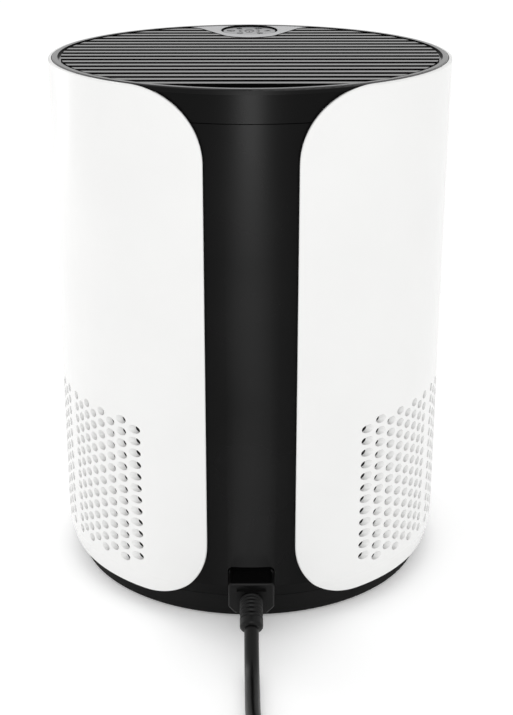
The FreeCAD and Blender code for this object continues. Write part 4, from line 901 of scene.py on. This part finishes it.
# ----------------------------------------------------------------------------- stage
class PURIFIER_OT_stage(bpy.types.Operator):
    """Adds the pale floor, the soft lights and the camera"""
    bl_idname = "purifier.stage"
    bl_label = "Stage"

    def execute(self, context):
        scene = context.scene
        scene.view_settings.view_transform = "Standard"
        scene.world = bpy.data.worlds.new("studio")
        scene.world.use_nodes = True
        sky = scene.world.node_tree.nodes["Background"]
        sky.inputs["Color"].default_value = (1, 1, 1, 1)
        sky.inputs["Strength"].default_value = 0.86
        self.floor()
        self.lights()
        data = bpy.data.cameras.new("camera")
        data.lens = 72.42
        data.sensor_width = 36.0
        data.shift_x = 0.00905
        camera = bpy.data.objects.new("camera", data)
        camera.location = (-0.0042, -0.7955, 0.4221)
        camera.rotation_euler = (math.radians(68.91), 0.0, math.radians(-0.3))
        scene.collection.objects.link(camera)
        scene.camera = camera
        return {"FINISHED"}

    def floor(self):
        """A pale floor that reaches far out on all sides."""
        shape = bmesh.new()
        bmesh.ops.create_grid(shape, x_segments=8, y_segments=8, size=40.0)
        floor = bpy.data.objects.new("floor", mesh_of("floor", shape))
        bpy.context.scene.collection.objects.link(floor)
        # Matt paper backdrop, lit a little from behind: white, with a very faint fibre.
        material, tree, shader, place = new_material("matt_paper_backdrop",
                                                     linear("FBFBFB"), 0.9)
        shader.inputs["Emission Color"].default_value = (1, 1, 1, 1)
        shader.inputs["Emission Strength"].default_value = 0.2
        fibre, clouds = [add(tree, "ShaderNodeTexNoise", Vector=place,
                             Scale=per_metre(size), Detail=2.0).outputs["Fac"]
                         for size in (2.0, 90.0)]
        coloured_and_bumped(tree, shader, clouds, linear("FAFAFA"), linear("FDFDFD"),
                            fibre, 0.02)
        floor.data.materials.append(material)

    def lights(self):
        """A box in front for the black core alone, a wide soft one for the whole, and
        one behind the left side. The first reaches down past the floor, where a look
        down at the core is mirrored to, so only the core is let to shade it."""
        core = bpy.data.collections.new("black_core")
        for name in ("main_housing", "top_cap", "outlet_grille"):
            core.objects.link(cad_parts[name])
        for name, place, aim, size, power in (
                ("core_box", (-0.004, -1.1, -0.3), (-0.004, 0, -0.3), (0.22, 1.1), 9.0),
                ("front_box", (0, -2.4, 1.2), (0, 0, 0.15), (1.2, 1.2), 7.5),
                ("left_rear_box", (-1.0, 0.75, 0.5), (0, 0, 0.15), (0.2, 1.4), 2.4)):
            light = bpy.data.lights.new(name, "AREA")
            light.shape = "RECTANGLE"
            light.size, light.size_y = size
            light.energy = power
            lamp = bpy.data.objects.new(name, light)
            lamp.location = place
            lamp.rotation_mode = "QUATERNION"
            lamp.rotation_quaternion = (Vector(aim) - Vector(place)).to_track_quat(
                "-Z", "Y")
            bpy.context.scene.collection.objects.link(lamp)
            if name == "core_box":
                lamp.light_linking.receiver_collection = core
                lamp.light_linking.blocker_collection = core


class PURIFIER_PT_panel(bpy.types.Panel):
    """Lists the pieces that the add-on can build"""
    bl_idname = "PURIFIER_PT_panel"
    bl_label = "Air purifier"
    bl_space_type = "VIEW_3D"
    bl_region_type = "UI"
    bl_category = "Purifier"

    def draw(self, context):
        # The first two properties are Blender's own.
        for name in sizes().bl_rna.properties.keys()[2:]:
            self.layout.prop(sizes(), name)
        for name in colours().bl_rna.properties.keys()[2:]:
            self.layout.prop(colours(), name)
        for operator in OPERATORS:
            self.layout.operator(operator.bl_idname)


OPERATORS = (PURIFIER_OT_lead_fittings, PURIFIER_OT_lead, PURIFIER_OT_shells,
             PURIFIER_OT_core, PURIFIER_OT_outlet, PURIFIER_OT_controls,
             PURIFIER_OT_filter, PURIFIER_OT_fan, PURIFIER_OT_electronics,
             PURIFIER_OT_stage)
CLASSES = (PurifierSizes, PurifierColours, *OPERATORS, PURIFIER_PT_panel)


def register():
    for item in CLASSES:
        bpy.utils.register_class(item)
    bpy.types.Scene.purifier_sizes = bpy.props.PointerProperty(type=PurifierSizes)
    bpy.types.Scene.purifier_colours = bpy.props.PointerProperty(type=PurifierColours)


def unregister():
    del bpy.types.Scene.purifier_colours
    del bpy.types.Scene.purifier_sizes
    for item in reversed(CLASSES):
        bpy.utils.unregister_class(item)


def main():
    register()
    make_materials()
    bpy.ops.purifier.lead_fittings()
    bpy.ops.purifier.lead()
    bpy.ops.purifier.shells()
    bpy.ops.purifier.core()
    bpy.ops.purifier.outlet()
    bpy.ops.purifier.controls()
    bpy.ops.purifier.filter()
    bpy.ops.purifier.fan()
    bpy.ops.purifier.electronics()
    bpy.ops.purifier.stage()


if __name__ == "__main__":
    main()
